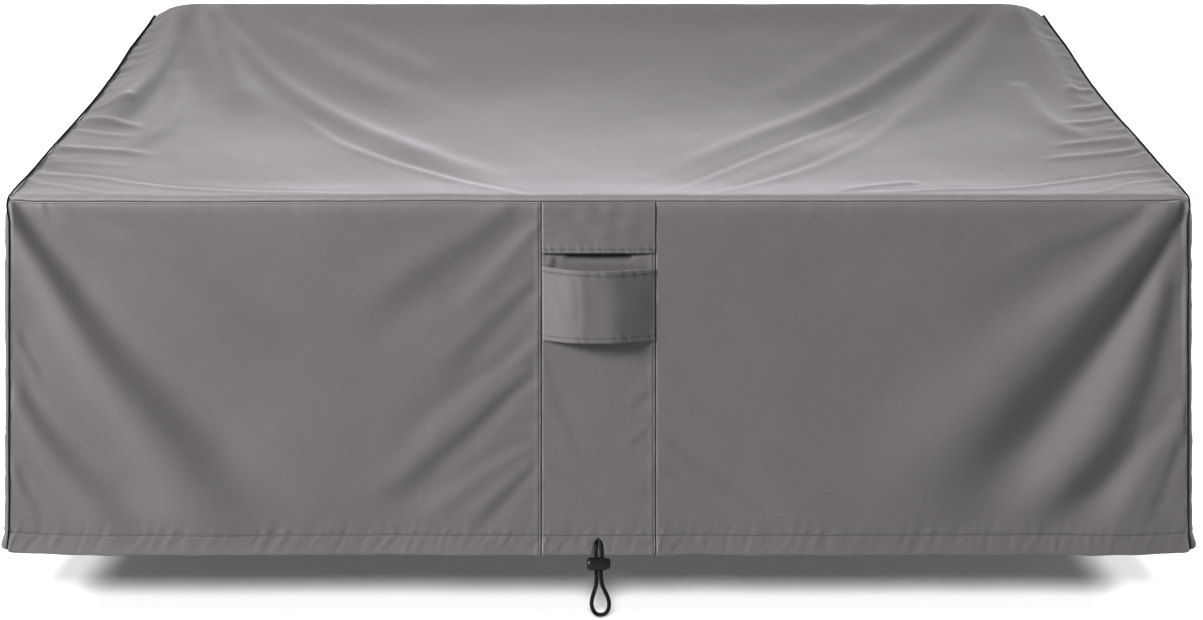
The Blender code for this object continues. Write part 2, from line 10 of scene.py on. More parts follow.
import bpy
import numpy as np
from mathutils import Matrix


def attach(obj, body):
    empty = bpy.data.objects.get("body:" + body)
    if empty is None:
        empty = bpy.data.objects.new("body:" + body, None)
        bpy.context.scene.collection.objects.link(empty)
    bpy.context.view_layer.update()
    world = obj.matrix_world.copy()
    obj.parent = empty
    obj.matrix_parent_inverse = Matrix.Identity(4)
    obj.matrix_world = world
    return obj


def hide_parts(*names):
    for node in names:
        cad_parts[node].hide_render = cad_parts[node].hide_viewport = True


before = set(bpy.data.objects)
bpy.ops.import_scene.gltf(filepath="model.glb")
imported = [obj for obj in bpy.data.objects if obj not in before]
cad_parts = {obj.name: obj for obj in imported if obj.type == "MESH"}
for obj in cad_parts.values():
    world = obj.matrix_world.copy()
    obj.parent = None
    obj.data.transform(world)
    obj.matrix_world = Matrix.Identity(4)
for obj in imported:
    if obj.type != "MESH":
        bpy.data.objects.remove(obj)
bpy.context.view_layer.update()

# ---------------------------------------------------------------- sizes of the cover
HALF_WIDTH = 1.000  # from the middle to a piped end seam, at the top
DEPTH = 0.953  # from the front face to the back face, at the top
MOUNT_DEPTH = 0.475  # the frame's origin, on the underside of the top
MOUNT_HEIGHT = 0.690
ORIGIN = np.array((0.0, MOUNT_DEPTH, MOUNT_HEIGHT))
CLOTH = 0.0016
HEM_CLOTH = 0.0030  # the hem is doubled
HEM_DOUBLED = 0.0352  # as far up as this
HEM_HEIGHT = 0.036
HEM_SLACK = 0.010  # the outline's line goes on this far below the hem line
HEM_CLIMB = 0.0050  # how far the hem rises towards a corner
HEM_CORNER = 0.0040  # and how far it is rounded off at the last
SIDE_FLARE = 0.030  # how far the hem stands outside the top, at each end
FRONT_LEAN = 0.030  # and at the front
BACK_LEAN = 0.020  # and at the back
ROLL_RADIUS = 0.025  # the rolled front edge
ROLL_START = 0.600
SEAM_ANGLE = 45.0  # where the front seam runs, round the roll
SEAM_CLIMB = 0.0025  # how far it rises near the piping
TOP_ANGLE = 80.0  # where the roll meets the top
TOP_SECTIONS = (
    # depth, end height, middle height
    (0.0207, 0.6246, 0.6246),
    (0.045, 0.6300, 0.6283),
    (0.130, 0.6465, 0.6372),
    (0.270, 0.6770, 0.6560),
    (0.460, 0.7165, 0.6880),
    (0.600, 0.7510, 0.7270),
    (0.790, 0.8110, 0.8060),
    (0.890, 0.8460, 0.8590),
    (0.930, 0.8600, 0.8860),
    (0.940, 0.8630, 0.8915),
    (0.948, 0.8620, 0.8905),
    (0.953, 0.8540, 0.8830),
)
RIDGE_SEAM_DEPTH = 0.948
FRONT_END_REACH = 0.60  # how far in from an end the top leaves the end's height, at the front
RIDGE_END_REACH = 0.11  # and at the ridge
RIDGE_TAPER = 0.009  # how far each end comes in towards the ridge
FRONT_INSET = 0.0042  # how far the hanging piping runs inside the end's bulge, under the roll
HEM_INSET = 0.0024  # and how much more at the hem

STRIP_HALF = 0.097  # the centre strip, its vent flap and its handle strap
FLAP_TOP = 0.607
FLAP_BOTTOM = 0.530
FLAP_BELLY = 0.0070
FLAP_TURNED = 0.0085  # how far the flap goes on above its seam
VENT_SAG = 0.0072  # how far the recess under the flap, with its painted shadow, hangs down in the middle
STRAP_TOP = 0.506
STRAP_BOTTOM = 0.380
STRAP_BELLY = 0.0320
STRAP_CLOTH = 0.0020
SEWN_GAP = 0.0010

PIPING_RADIUS = 0.0011  # what shows of it where the hanging cloth pulls it tight
PIPING_FULL = 0.0025  # over the top, where it lies loose
PIPING_OUT = 0.0008  # how far the middle of the piping stands outside the panels
PIPING_LIFT = 0.0012  # and how much further over the top
PANEL_TUCK = 0.0012  # how far a panel's edge lies inside the middle of the piping
PUFF = 0.012  # the ends puff out past their piping
PUFF_REACH = 0.016

# ---------------------------------------------------------------- sizes of the sewing
LIP_WIDE = 0.0022  # the rounded edge of a turned panel
LIP_DEEP = 0.0026
PIPED_LIP = 0.0014  # this much of a turned edge is hidden where it meets the piping
LIP_RISE = 0.0006  # the allowance under a topstitched edge
LIP_WIDTH = 0.0085
EDGE_HIGHLIGHT = 0.70  # how much a painted highlight lightens the cloth along the front seam
LIP_HIGHLIGHT = 0.70  # how much a painted highlight lightens the lip beside a seam
SEAM_CLOTH = 0.0018  # the allowance behind every seam
SKIN_GAP = 0.0005  # how much further in the inner skin lies
STITCH_OFF = 0.0040  # from the seam to the topstitching
HEM_STITCH = 0.0350  # from the hem line to its stitching
FLAP_STITCH = 0.0070  # from the flap's lower edge to its stitching
STRAP_STITCH = 0.0084  # from either edge of the strap to its stitching
GROOVE = 0.0006
GROOVE_HALF = 0.0007
STITCH_PITCH = 0.0036
STITCH_LENGTH = 0.0027
STITCH_LIFT = 0.00012  # how far the thread's middle lies above the cloth
THREAD_RADIUS = 0.00028
THREAD_PITCH = 0.00062  # of the weave

# The grids: places in from a seam or a hem, where the lines lie close, and the steps between
EDGE_STEPS = (0.0, 0.0002, 0.0006, 0.0012, 0.0020, 0.0028, 0.0034, 0.0040, 0.0046, 0.0054, 0.0068, 0.0084)
EDGE_STEPS += (0.0100, 0.0125)
HEM_STEPS = (0.0, 0.0003, 0.0010, 0.0022, 0.0050, 0.0090, 0.0135, 0.0180, 0.0225, 0.0270, 0.0310, 0.0335)
HEM_STEPS += (0.0344, 0.0350, 0.0356, 0.0366, 0.0390, 0.0430, 0.0480)
FLAP_STEPS = (0.0, 0.0003, 0.0008, 0.0016, 0.0028, 0.0042, 0.0054, 0.0062, 0.0066, 0.0070, 0.0074, 0.0078)
FLAP_STEPS += (0.0086, 0.0100)
STRAP_STEPS = (0.0, 0.0003, 0.0008, 0.0016, 0.0030, 0.0050, 0.0068, 0.0076, 0.0080, 0.0084, 0.0088, 0.0092)
STRAP_STEPS += (0.0104, 0.0120)
GRID_STEPS = {
    # part: step across, step up
    "front": (0.0039, 0.0082),
    "top": (0.0068, 0.0082),
    "back": (0.0100, 0.0095),
    "flap": (0.0030, 0.0030),
    "strap": (0.0026, 0.0032),
}
PUCKERS = {
    # seam: random seed, spacing, reach, height, slant
    "above_hem": (0, 0.0095, 0.013, 0.0016, 0.30),
    "in_hem": (0, 0.0095, 0.030, 0.0013, -0.45),
    "front_top": (43, 0.013, 0.022, 0.0004, 0.0),
    "front_sides": (47, 0.012, 0.026, 0.0014, -0.45),
    "top_front": (53, 0.016, 0.020, 0.0009, 0.0),
    "top_ridge": (55, 0.016, 0.018, 0.0003, 0.0),
    "top_ends": (57, 0.015, 0.036, 0.0024, 0.90),
    "back_ridge": (62, 0.020, 0.026, 0.0004, 0.0),
    "back_ends": (64, 0.020, 0.030, 0.0014, 0.0),
    "end_edges": (74, 0.019, 0.026, 0.0011, 0.0),
    "flap_sides": (93, 0.012, 0.018, 0.0008, 0.0),
}

# ---------------------------------------------------------------- folds
# A fold follows a line of points from its tight end. Before them stand its half width and the steepness of
# its sides at that end, the same two at the other end, and its lean: 0 is an even ridge, 1 a step that falls
# to the right, and -1 a step that falls to the left.
FRONT_FOLDS = (
    # width, steepness, to width, to steepness, lean, then points (x, height)
    (0.013, 1.20, 0.082, 0.34, 0.8, (-1.018, 0.660), (-0.992, 0.607), (-0.960, 0.552), (-0.914, 0.482),
     (-0.872, 0.413), (-0.824, 0.343), (-0.774, 0.279), (-0.722, 0.213), (-0.676, 0.155), (-0.630, 0.105),
     (-0.555, 0.030)),
    (0.008, 0.35, 0.012, 0.25, 1.0, (-0.991, 0.390), (-0.975, 0.355), (-0.950, 0.305)),
    (0.014, 0.50, 0.050, 0.38, 1.0, (-0.997, 0.310), (-0.966, 0.244), (-0.914, 0.172), (-0.854, 0.108),
     (-0.780, 0.045)),
    (0.008, 0.30, 0.016, 0.20, 1.0, (-1.005, 0.160), (-0.988, 0.108), (-0.962, 0.065)),
    (0.016, 0.30, 0.060, 0.10, 1.0, (-0.925, 0.607), (-0.859, 0.576), (-0.768, 0.544), (-0.685, 0.498),
     (-0.615, 0.450), (-0.525, 0.410)),
    (0.004, 0.60, 0.008, 0.30, 1.0, (-0.940, 0.622), (-0.936, 0.606), (-0.926, 0.590)),
    (0.022, 0.26, 0.050, 0.16, 1.0, (-0.130, 0.612), (-0.206, 0.552), (-0.276, 0.505), (-0.338, 0.458),
     (-0.420, 0.405)),
    (0.012, 0.22, 0.030, 0.12, -1.0, (-0.102, 0.590), (-0.160, 0.529), (-0.214, 0.474), (-0.269, 0.411)),
    (0.012, 0.28, 0.036, 0.16, 1.0, (-0.104, 0.485), (-0.145, 0.443), (-0.199, 0.388), (-0.278, 0.308)),
    (0.012, 0.26, 0.030, 0.16, -1.0, (-0.104, 0.390), (-0.153, 0.340), (-0.216, 0.292), (-0.279, 0.244),
     (-0.342, 0.180)),
    (0.011, 0.42, 0.036, 0.26, 1.0, (-0.104, 0.332), (-0.169, 0.276), (-0.209, 0.236), (-0.264, 0.188),
     (-0.327, 0.132), (-0.400, 0.090)),
    (0.010, 0.25, 0.026, 0.16, -1.0, (-0.104, 0.206), (-0.154, 0.180), (-0.209, 0.148), (-0.265, 0.108),
     (-0.328, 0.065)),
    (0.009, 0.40, 0.024, 0.24, 1.0, (-0.103, 0.168), (-0.147, 0.124), (-0.194, 0.075), (-0.226, 0.043)),
    (0.013, 1.00, 0.130, 0.17, 0.9, (1.012, 0.660), (0.982, 0.612), (0.951, 0.560), (0.905, 0.498),
     (0.852, 0.427), (0.796, 0.356), (0.742, 0.292), (0.694, 0.228), (0.646, 0.172), (0.588, 0.116),
     (0.510, 0.040)),
    (0.016, 0.40, 0.062, 0.36, -1.0, (0.980, 0.583), (0.953, 0.513), (0.925, 0.443), (0.889, 0.372),
     (0.845, 0.292), (0.809, 0.228), (0.764, 0.172), (0.700, 0.090)),
    (0.014, 0.30, 0.050, 0.12, -1.0, (0.930, 0.590), (0.875, 0.529), (0.823, 0.482), (0.762, 0.443),
     (0.701, 0.411), (0.648, 0.372)),
    (0.010, 0.35, 0.040, 0.15, 1.0, (0.925, 0.608), (0.835, 0.560), (0.759, 0.529), (0.699, 0.490)),
    (0.028, 0.36, 0.058, 0.52, 1.0, (0.980, 0.500), (0.970, 0.450), (0.958, 0.395), (0.938, 0.316),
     (0.910, 0.244), (0.881, 0.188), (0.836, 0.132), (0.783, 0.080), (0.715, 0.035)),
    (0.016, 0.34, 0.040, 0.32, -1.0, (1.002, 0.284), (0.981, 0.228), (0.944, 0.180), (0.907, 0.124),
     (0.860, 0.045)),
    (0.010, 0.25, 0.020, 0.20, 1.0, (0.998, 0.200), (0.975, 0.130), (0.945, 0.050)),
    (0.020, 0.08, 0.040, 0.06, 1.0, (0.104, 0.330), (0.170, 0.270), (0.270, 0.200), (0.380, 0.120)),
    (0.014, 0.17, 0.026, 0.12, 1.0, (0.110, 0.206), (0.161, 0.164), (0.208, 0.132), (0.263, 0.091),
     (0.303, 0.055)),
)
TOP_FOLDS = (
    # width, steepness, to width, to steepness, lean, then points (x, depth)
    (0.020, 0.26, 0.036, 0.32, 0.4, (-0.850, 0.935), (-0.765, 0.810), (-0.685, 0.700), (-0.605, 0.600),
     (-0.515, 0.500), (-0.415, 0.395), (-0.325, 0.298), (-0.240, 0.214), (-0.150, 0.130)),
    (0.022, 0.50, 0.046, 0.34, -0.4, (-0.880, 0.935), (-0.815, 0.790), (-0.765, 0.670), (-0.700, 0.500)),
    (0.016, 0.16, 0.014, 0.40, 1.0, (-0.580, 0.500), (-0.477, 0.345), (-0.389, 0.255), (-0.297, 0.172),
     (-0.208, 0.088), (-0.110, 0.014)),
    (0.024, 0.22, 0.050, 0.12, 0.3, (-0.775, 0.935), (-0.710, 0.862), (-0.630, 0.795), (-0.560, 0.728),
     (-0.475, 0.652), (-0.395, 0.590), (-0.320, 0.510)),
    (0.030, 0.14, 0.040, 0.06, 0.2, (-0.620, 0.905), (-0.510, 0.825), (-0.400, 0.735), (-0.290, 0.640)),
    (0.022, 0.36, 0.040, 1.00, 0.5, (-0.920, 0.935), (-0.916, 0.779), (-0.916, 0.662), (-0.926, 0.557),
     (-0.928, 0.465), (-0.938, 0.370)),
    (0.022, 0.16, 0.024, 0.42, -0.3, (-0.880, 0.690), (-0.858, 0.600), (-0.845, 0.520), (-0.842, 0.431),
     (-0.855, 0.331), (-0.880, 0.260)),
    (0.009, 0.34, 0.014, 0.30, 0.0, (-0.992, 0.448), (-0.960, 0.470), (-0.930, 0.530)),
    (0.010, 0.40, 0.012, 0.26, 0.0, (-0.992, 0.400), (-0.936, 0.396), (-0.870, 0.392)),
    (0.008, 0.22, 0.010, 0.16, 0.0, (-0.990, 0.345), (-0.930, 0.336), (-0.870, 0.338)),
    (0.010, 0.36, 0.012, 0.24, 0.0, (-0.990, 0.252), (-0.911, 0.258), (-0.810, 0.248)),
    (0.008, 0.14, 0.010, 0.10, 0.0, (-0.992, 0.195), (-0.900, 0.190), (-0.820, 0.180)),
    (0.009, 0.46, 0.009, 0.44, 0.9, (-1.010, 0.140), (-0.925, 0.134), (-0.875, 0.122), (-0.825, 0.102),
     (-0.780, 0.086), (-0.690, 0.062), (-0.600, 0.046), (-0.510, 0.037), (-0.340, 0.030)),
    (0.007, 0.40, 0.008, 0.36, 0.9, (-1.000, 0.100), (-0.935, 0.079), (-0.890, 0.054), (-0.850, 0.035),
     (-0.815, 0.021)),
    (0.020, 0.34, 0.030, 0.30, -0.5, (0.845, 0.935), (0.740, 0.838), (0.675, 0.767), (0.612, 0.705),
     (0.530, 0.621), (0.452, 0.552), (0.376, 0.475), (0.295, 0.395), (0.215, 0.305), (0.148, 0.219),
     (0.100, 0.150)),
    (0.022, -0.30, 0.050, -0.14, 0.2, (0.868, 0.935), (0.785, 0.828), (0.732, 0.763), (0.660, 0.672),
     (0.595, 0.592), (0.520, 0.500), (0.440, 0.400), (0.360, 0.300)),
    (0.026, 0.22, 0.046, 0.10, -0.2, (0.905, 0.935), (0.845, 0.830), (0.800, 0.760), (0.730, 0.660),
     (0.665, 0.560), (0.600, 0.450)),
    (0.022, 0.16, 0.016, 0.42, -1.0, (0.640, 0.580), (0.561, 0.460), (0.474, 0.325), (0.398, 0.230),
     (0.323, 0.152), (0.242, 0.076), (0.175, 0.020)),
    (0.016, 0.20, 0.014, 0.40, -1.0, (0.560, 0.560), (0.422, 0.415), (0.341, 0.321), (0.263, 0.231),
     (0.181, 0.130), (0.105, 0.022)),
    (0.026, 0.16, 0.046, 0.08, -0.2, (0.700, 0.930), (0.570, 0.805), (0.470, 0.718), (0.390, 0.640),
     (0.300, 0.540)),
    (0.018, 0.24, 0.020, 0.50, -0.2, (0.932, 0.935), (0.945, 0.833), (0.950, 0.736), (0.950, 0.638),
     (0.955, 0.552), (0.970, 0.480)),
    (0.022, 0.18, 0.022, 0.34, -0.2, (0.855, 0.640), (0.862, 0.500), (0.870, 0.430), (0.890, 0.360),
     (0.930, 0.315)),
    (0.008, 0.34, 0.010, 0.30, 0.0, (0.995, 0.570), (0.975, 0.566), (0.945, 0.590)),
    (0.009, 0.38, 0.012, 0.30, 0.0, (0.995, 0.485), (0.965, 0.478), (0.925, 0.486)),
    (0.009, 0.34, 0.012, 0.26, 0.0, (0.995, 0.408), (0.952, 0.400), (0.890, 0.402)),
    (0.009, 0.30, 0.012, 0.22, 0.0, (0.992, 0.308), (0.923, 0.300), (0.840, 0.290)),
    (0.009, 0.26, 0.011, 0.20, 0.0, (0.992, 0.250), (0.904, 0.236), (0.800, 0.224)),
    (0.010, 0.48, 0.010, 0.44, -0.8, (1.010, 0.145), (0.930, 0.140), (0.882, 0.124), (0.834, 0.110),
     (0.786, 0.093), (0.738, 0.074), (0.692, 0.062), (0.605, 0.056), (0.516, 0.041), (0.400, 0.034)),
    (0.007, 0.40, 0.008, 0.36, -0.8, (1.000, 0.100), (0.923, 0.083), (0.857, 0.036), (0.819, 0.021)),
    (0.010, 0.24, 0.010, 0.26, 0.0, (0.560, 0.105), (0.473, 0.074), (0.402, 0.031)),
)
STRIP_FOLDS = (
    # width, steepness, to width, to steepness, lean, then points (x, height)
    (0.005, 0.55, 0.008, 0.55, 1.0, (-0.082, 0.536), (-0.076, 0.516), (-0.084, 0.498)),
    (0.004, 0.16, 0.005, 0.16, 0.0, (-0.060, 0.519), (0.000, 0.516), (0.060, 0.518)),
    (0.006, 0.30, 0.012, 0.16, 1.0, (0.093, 0.300), (0.070, 0.275), (0.050, 0.262)),
    (0.006, 0.32, 0.012, 0.16, 1.0, (0.093, 0.235), (0.065, 0.205), (0.045, 0.190)),
    (0.012, 0.10, 0.020, 0.08, 1.0, (-0.093, 0.350), (-0.060, 0.240), (-0.020, 0.150)),
)
BACK_FOLDS = (
    # width, steepness, to width, to steepness, lean, then points (x, height)
    (0.018, 0.40, 0.060, 0.20, 1.0, (-0.970, 0.840), (-0.900, 0.600), (-0.770, 0.330), (-0.620, 0.060)),
    (0.020, 0.22, 0.070, 0.12, -1.0, (-0.930, 0.845), (-0.760, 0.600), (-0.560, 0.380), (-0.380, 0.180)),
    (0.018, 0.40, 0.060, 0.20, -1.0, (0.970, 0.840), (0.900, 0.590), (0.760, 0.330), (0.560, 0.080)),
    (0.020, 0.22, 0.070, 0.12, 1.0, (0.930, 0.845), (0.740, 0.620), (0.520, 0.420), (0.330, 0.220)),
    (0.040, 0.08, 0.060, 0.08, 0.5, (-0.180, 0.800), (-0.130, 0.460), (-0.120, 0.120)),
    (0.040, 0.08, 0.060, 0.08, -0.5, (0.230, 0.720), (0.220, 0.400), (0.180, 0.060)),
)
SIDE_FOLDS = (
    # width, steepness, to width, to steepness, lean, then points (depth, height)
    (0.014, 0.40, 0.046, 0.18, 1.0, (0.012, 0.590), (0.110, 0.420), (0.210, 0.240), (0.300, 0.050)),
    (0.012, 0.24, 0.034, 0.16, -1.0, (0.010, 0.480), (0.060, 0.260), (0.150, 0.045)),
    (0.016, 0.42, 0.056, 0.20, 1.0, (0.925, 0.830), (0.830, 0.600), (0.730, 0.330), (0.640, 0.080)),
    (0.018, 0.24, 0.056, 0.14, -1.0, (0.900, 0.845), (0.720, 0.620), (0.520, 0.420)),
    (0.034, 0.10, 0.050, 0.10, 0.0, (0.480, 0.640), (0.470, 0.350), (0.450, 0.060)),
)
STRAP_FOLDS = (
    # width, steepness, to width, to steepness, lean, then points (x, height)
    (0.006, 0.14, 0.012, 0.14, 1.0, (-0.078, 0.504), (-0.064, 0.450), (-0.050, 0.388)),
    (0.008, 0.16, 0.010, 0.16, -1.0, (-0.036, 0.504), (-0.030, 0.440), (-0.036, 0.384)),
    (0.005, 0.12, 0.010, 0.08, 0.0, (0.090, 0.430), (0.060, 0.438), (0.030, 0.448)),
)
FOLD_FADE = 0.008  # how far from a piped end or a seam a fold reaches its full rise
RIDGE_SHARE = 1.17  # an even ridge's height, to match the steepness of a step

# ---------------------------------------------------------------- the notch, the cord and its lock
# The notch in the front hem, where the cord comes out: a pointed arch
NOTCH_COLUMNS = (
    # half width, height
    (0.0000, 0.0300),
    (0.0007, 0.0295),
    (0.0014, 0.0288),
    (0.0025, 0.0277),
    (0.0036, 0.0265),
    (0.0048, 0.0250),
    (0.0058, 0.0235),
    (0.0067, 0.0219),
    (0.0076, 0.0200),
    (0.0085, 0.0172),
    (0.0094, 0.0140),
    (0.0099, 0.0106),
    (0.0104, 0.0070),
    (0.0108, 0.0035),
    (0.0112, 0.0000),
    (0.0118, 0.0000),
    (0.0126, 0.0000),
)
NOTCH_CLEAR = 0.0135  # even columns go on from here
NOTCH_ZONE = 0.034  # rows below this bend round the notch

CORD_RADIUS = 0.0035
CORD_ROUTE = (
    # sideways, depth behind the face of the hem, height
    (-0.0041, 0.0094, 0.0400),
    (-0.0041, 0.0092, 0.0310),
    (-0.0041, 0.0070, 0.0215),
    (-0.0045, 0.0020, 0.0125),
    (-0.0053, -0.0030, 0.0040),
    (-0.0046, -0.0045, -0.0040),
    (-0.0040, -0.0045, -0.0100),
    (-0.0040, -0.0045, -0.0200),
    (-0.0040, -0.0045, -0.0300),
    (-0.0038, -0.0045, -0.0420),
    (-0.0044, -0.0045, -0.0530),
    (-0.0078, -0.0045, -0.0660),
    (-0.0112, -0.0045, -0.0780),
    (-0.0122, -0.0045, -0.0890),
    (-0.0094, -0.0045, -0.1000),
    (-0.0035, -0.0045, -0.1070),
    (0.0035, -0.0045, -0.1087),
    (0.0110, -0.0045, -0.1065),
    (0.0164, -0.0045, -0.0995),
    (0.0182, -0.0045, -0.0890),
    (0.0164, -0.0045, -0.0780),
    (0.0114, -0.0045, -0.0660),
    (0.0062, -0.0045, -0.0530),
    (0.0044, -0.0045, -0.0420),
    (0.0040, -0.0045, -0.0300),
    (0.0040, -0.0045, -0.0200),
    (0.0040, -0.0045, -0.0100),
    (0.0046, -0.0045, -0.0040),
    (0.0053, -0.0030, 0.0040),
    (0.0045, 0.0020, 0.0125),
    (0.0041, 0.0070, 0.0215),
    (0.0041, 0.0092, 0.0310),
    (0.0041, 0.0094, 0.0400),
)

LOCK_HEIGHT = -0.0145
LOCK_DEPTH = -0.0045
BARREL_START = -0.0205
BARREL_END = 0.0125
BARREL_RADIUS = 0.0112
BARREL_WALL = 0.0016
BARREL_FLOOR = 0.0030
BARREL_ROUND = 0.0060
BUTTON_START = -0.0125
BUTTON_END = 0.0205
BUTTON_RADIUS = 0.0093
BUTTON_ROUND = 0.0045
BUTTON_TRAVEL = 0.0040
SLOT_HALF_LENGTH = 0.0086
SLOT_HALF_WIDTH = 0.0040

# ---------------------------------------------------------------- colours, floor and light
GREY_CLOTH = (0.160, 0.149, 0.153)
GREY_THREAD = (0.205, 0.192, 0.196)
BLACK_CLOTH = (0.005, 0.005, 0.006)
BLACK_CORD = (0.006, 0.006, 0.007)
BLACK_PLASTIC = (0.007, 0.007, 0.008)
WHITE = (1.0, 1.0, 1.0)
SEAM_SHADE = 0.92  # how much of its colour the cloth loses under full painted shade, deep in a seam, a groove or under the flap
FLOOR_HEIGHT = -0.1160  # just under the cord's loop
FLOOR_TONE = 0.92
FLOOR_BOUNCE = 0.165  # what the floor gives back to the object
FLOOR_GLOW = 0.085
FLOOR_HALF = 14.0
FLOOR_NEAR = -9.0  # from here the floor runs level to FLOOR_FAR, and then it curves up into a wall
FLOOR_FAR = 7.0
WALL_CURVE = 3.0
WALL_HEIGHT = 9.0
WORLD_LIGHT = 0.21
SOFTBOXES = (
    # name, place, aim, size, power, colour, lights the cover alone
    ("key", (-6.2, -4.1, 3.2), (0.0, -0.4, -0.3), 2.0, 870.0, (1.0, 0.985, 0.97), True),
    ("fill", (7.0, 0.6, 0.4), (1.0, 0.0, -0.4), 2.0, 190.0, WHITE, True),
    ("rear", (0.0, 7.0, 2.5), (0.0, 0.0, 0.0), 4.0, 278.0, (0.97, 0.94, 1.0), False),
)
FLOOR_LIGHTS = (
    # name, angle from straight down, way it comes from (0 is the front, -90 the left), power
    ("floor_light", 48.0, -4.0, 4.2),
    ("floor_light_left", 41.0, -90.0, 2.6),
    ("floor_light_right", 41.0, 90.0, 2.6),
)
FLOOR_LIGHT_SPREAD = 22.0


# ---------------------------------------------------------------- shared shape tools
def smooth(value):
    """Ease from 0 to 1 as value goes from 0 to 1."""
    share = np.clip(value, 0.0, 1.0)
    return share * share * (3.0 - 2.0 * share)


def bell(off, half):
    """A bell: 1 where off is 0, and next to nothing past twice the half width."""
    return np.exp(-((off / half) ** 2))


def unit(ways):
    """Directions, each made 1 long."""
    return ways / np.linalg.norm(ways, axis=-1, keepdims=True)


def curve_through(knots, values, at):
    """Read a smooth curve through the knots: cubic pieces whose slope at a knot is that of its
    neighbours.
    """
    knots = np.asarray(knots, float)
    values = np.asarray(values, float)
    slopes = np.gradient(values, knots)
    piece = np.clip(np.searchsorted(knots, at) - 1, 0, len(knots) - 2)
    span = knots[piece + 1] - knots[piece]
    share = (at - knots[piece]) / span
    ahead = share * share * (3.0 - 2.0 * share)
    return (
        values[piece] * (1.0 - ahead)
        + values[piece + 1] * ahead
        + slopes[piece] * span * share * (1.0 - share) ** 2
        - slopes[piece + 1] * span * share * share * (1.0 - share)
    )


def passed_along(points):
    """Length passed at each point of a line."""
    steps = np.linalg.norm(np.diff(points, axis=0), axis=1)
    return np.concatenate(((0.0,), np.cumsum(steps)))


def smooth_line(knots, count):
    """A smooth line through knots: the length passed at each of its points, and the points."""
    passed = passed_along(knots)
    at = np.linspace(0.0, passed[-1], count)
    return at, np.column_stack([curve_through(passed, column, at) for column in knots.T])


def read_line(at, passed, line):
    """Points of a line at given lengths along it."""
    return np.column_stack([np.interp(at, passed, column) for column in line.T])


def graded(length, step, start=(0.0,), end=(0.0,)):
    """Places from 0 to a length: fine steps in from each end, and even steps between them."""
    start, end = np.asarray(start), length - np.asarray(end)[::-1]
    count = max(2, round((end[0] - start[-1]) / step))
    return np.concatenate((start, np.linspace(start[-1], end[0], count + 1)[1:-1], end))


def graded_grid(kind, width, length, side_steps, foot_steps, head_steps):
    """Columns on both sides of a middle, rows up from 0, and the grid of their places."""
    step_across, step_up = GRID_STEPS[kind]
    places = graded(width, step_across, side_steps, side_steps) - width / 2.0
    rows = graded(length, step_up, foot_steps, head_steps)
    return rows, *np.meshgrid(places, rows)


def ripple(place, length, seed, waves=7):
    """Uneven waves along a line, from about -1 to 1: a sum of sines whose lengths lie round the given
    one.
    """
    draw = np.random.default_rng(seed)
    total = np.zeros_like(np.asarray(place, float))
    for _ in range(waves):
        total += np.sin(2.0 * math.pi * place / (length * draw.uniform(0.6, 1.7)) + draw.uniform(0.0, 6.28))
    return total / math.sqrt(waves)


def sway(across, along, length, seed, waves=14):
    """Uneven swells over a sheet, from about -1 to 1: a sum of plane sine waves that run every way."""
    draw = np.random.default_rng(seed)
    total = np.zeros_like(across)
    for _ in range(waves):
        turn = draw.uniform(0.0, math.pi)
        scale = 2.0 * math.pi / (length * draw.uniform(0.6, 1.8))
        wave = math.cos(turn) * across + math.sin(turn) * along
        total += np.sin(scale * wave + draw.uniform(0.0, 6.28))
    return total / math.sqrt(waves)


def fold_rise(across, along, folds):
    """Add up folds. Across its line, at t half widths to the right, a fold's height is its steepness
    times its half width times exp(-t * t), and that times RIDGE_SHARE for an even ridge, -t for a step to
    the right and t for one to the left, with the shares of ridge and step that its lean gives. Width and
    steepness change evenly along the line. A fold rises fast at its tight end and dies out slowly at the
    other.
    """
    total = np.zeros_like(across)
    for width, steep, end_width, end_steep, lean, *knots in folds:
        at, line = smooth_line(np.array(knots), 64)
        way = unit(np.gradient(line, axis=0))
        (left, low), (right, high) = line.min(axis=0), line.max(axis=0)
        reach = 3.0 * max(width, end_width)
        near = (across > left - reach) & (across < right + reach)
        near &= (along > low - reach) & (along < high + reach)
        spots = np.column_stack((across[near], along[near]))
        nearest = np.linalg.norm(spots[:, None] - line, axis=-1).argmin(axis=1)
        apart, onward = spots - line[nearest], way[nearest]
        ahead = (apart * onward).sum(axis=1)
        off = apart[:, 1] * onward[:, 0] - apart[:, 0] * onward[:, 1]
        share = (at[nearest] + ahead) / at[-1]
        inner = np.clip(share, 0.0, 1.0)
        half = width + (end_width - width) * inner
        t = off / half
        rise = (steep + (end_steep - steep) * inner) * half
        strength = smooth((share + 0.03) / 0.12) * smooth((1.06 - share) / 0.34)
        total[near] += rise * strength * np.exp(-t * t) * (RIDGE_SHARE * (1.0 - abs(lean)) - lean * t)
    return total


def turned_edge(off):
    """Rounded fall of a folded edge: a quarter of an ellipse, LIP_WIDE wide, down by LIP_DEEP to the
    seam.
    """
    share = 1.0 - np.clip(off / LIP_WIDE, 0.0, 1.0)
    return LIP_DEEP * (np.sqrt(1.0 - share * share) - 1.0)


def topstitched(off):
    """Height of a topstitched edge: the raised allowance, with a groove where the thread pulls the cloth
    down.
    """
    band = smooth((off - 0.0004) / 0.0016) * (1.0 - smooth((off - LIP_WIDTH) / 0.0035))
    return LIP_RISE * band - GROOVE * bell(off - STITCH_OFF, GROOVE_HALF)


def hemmed_edge(off, width):
    """Relief of a narrow hem: a second layer as far as its stitching, which sinks into the cloth."""
    layer = 0.0007 * (1.0 - smooth((off - width - 0.0004) / 0.0016))
    return layer - GROOVE * bell(off - width, 0.0008) + 0.7 * turned_edge(off)


def seam_shade(off):
    """Painted shade at a seam: 1 in the seam, 0 away from it, and below 0 on the lip, which a painted
    highlight makes pale.
    """
    return 1.0 - smooth((off - 0.0007) / 0.0006) - LIP_HIGHLIGHT * bell(off - 0.0022, 0.0009)


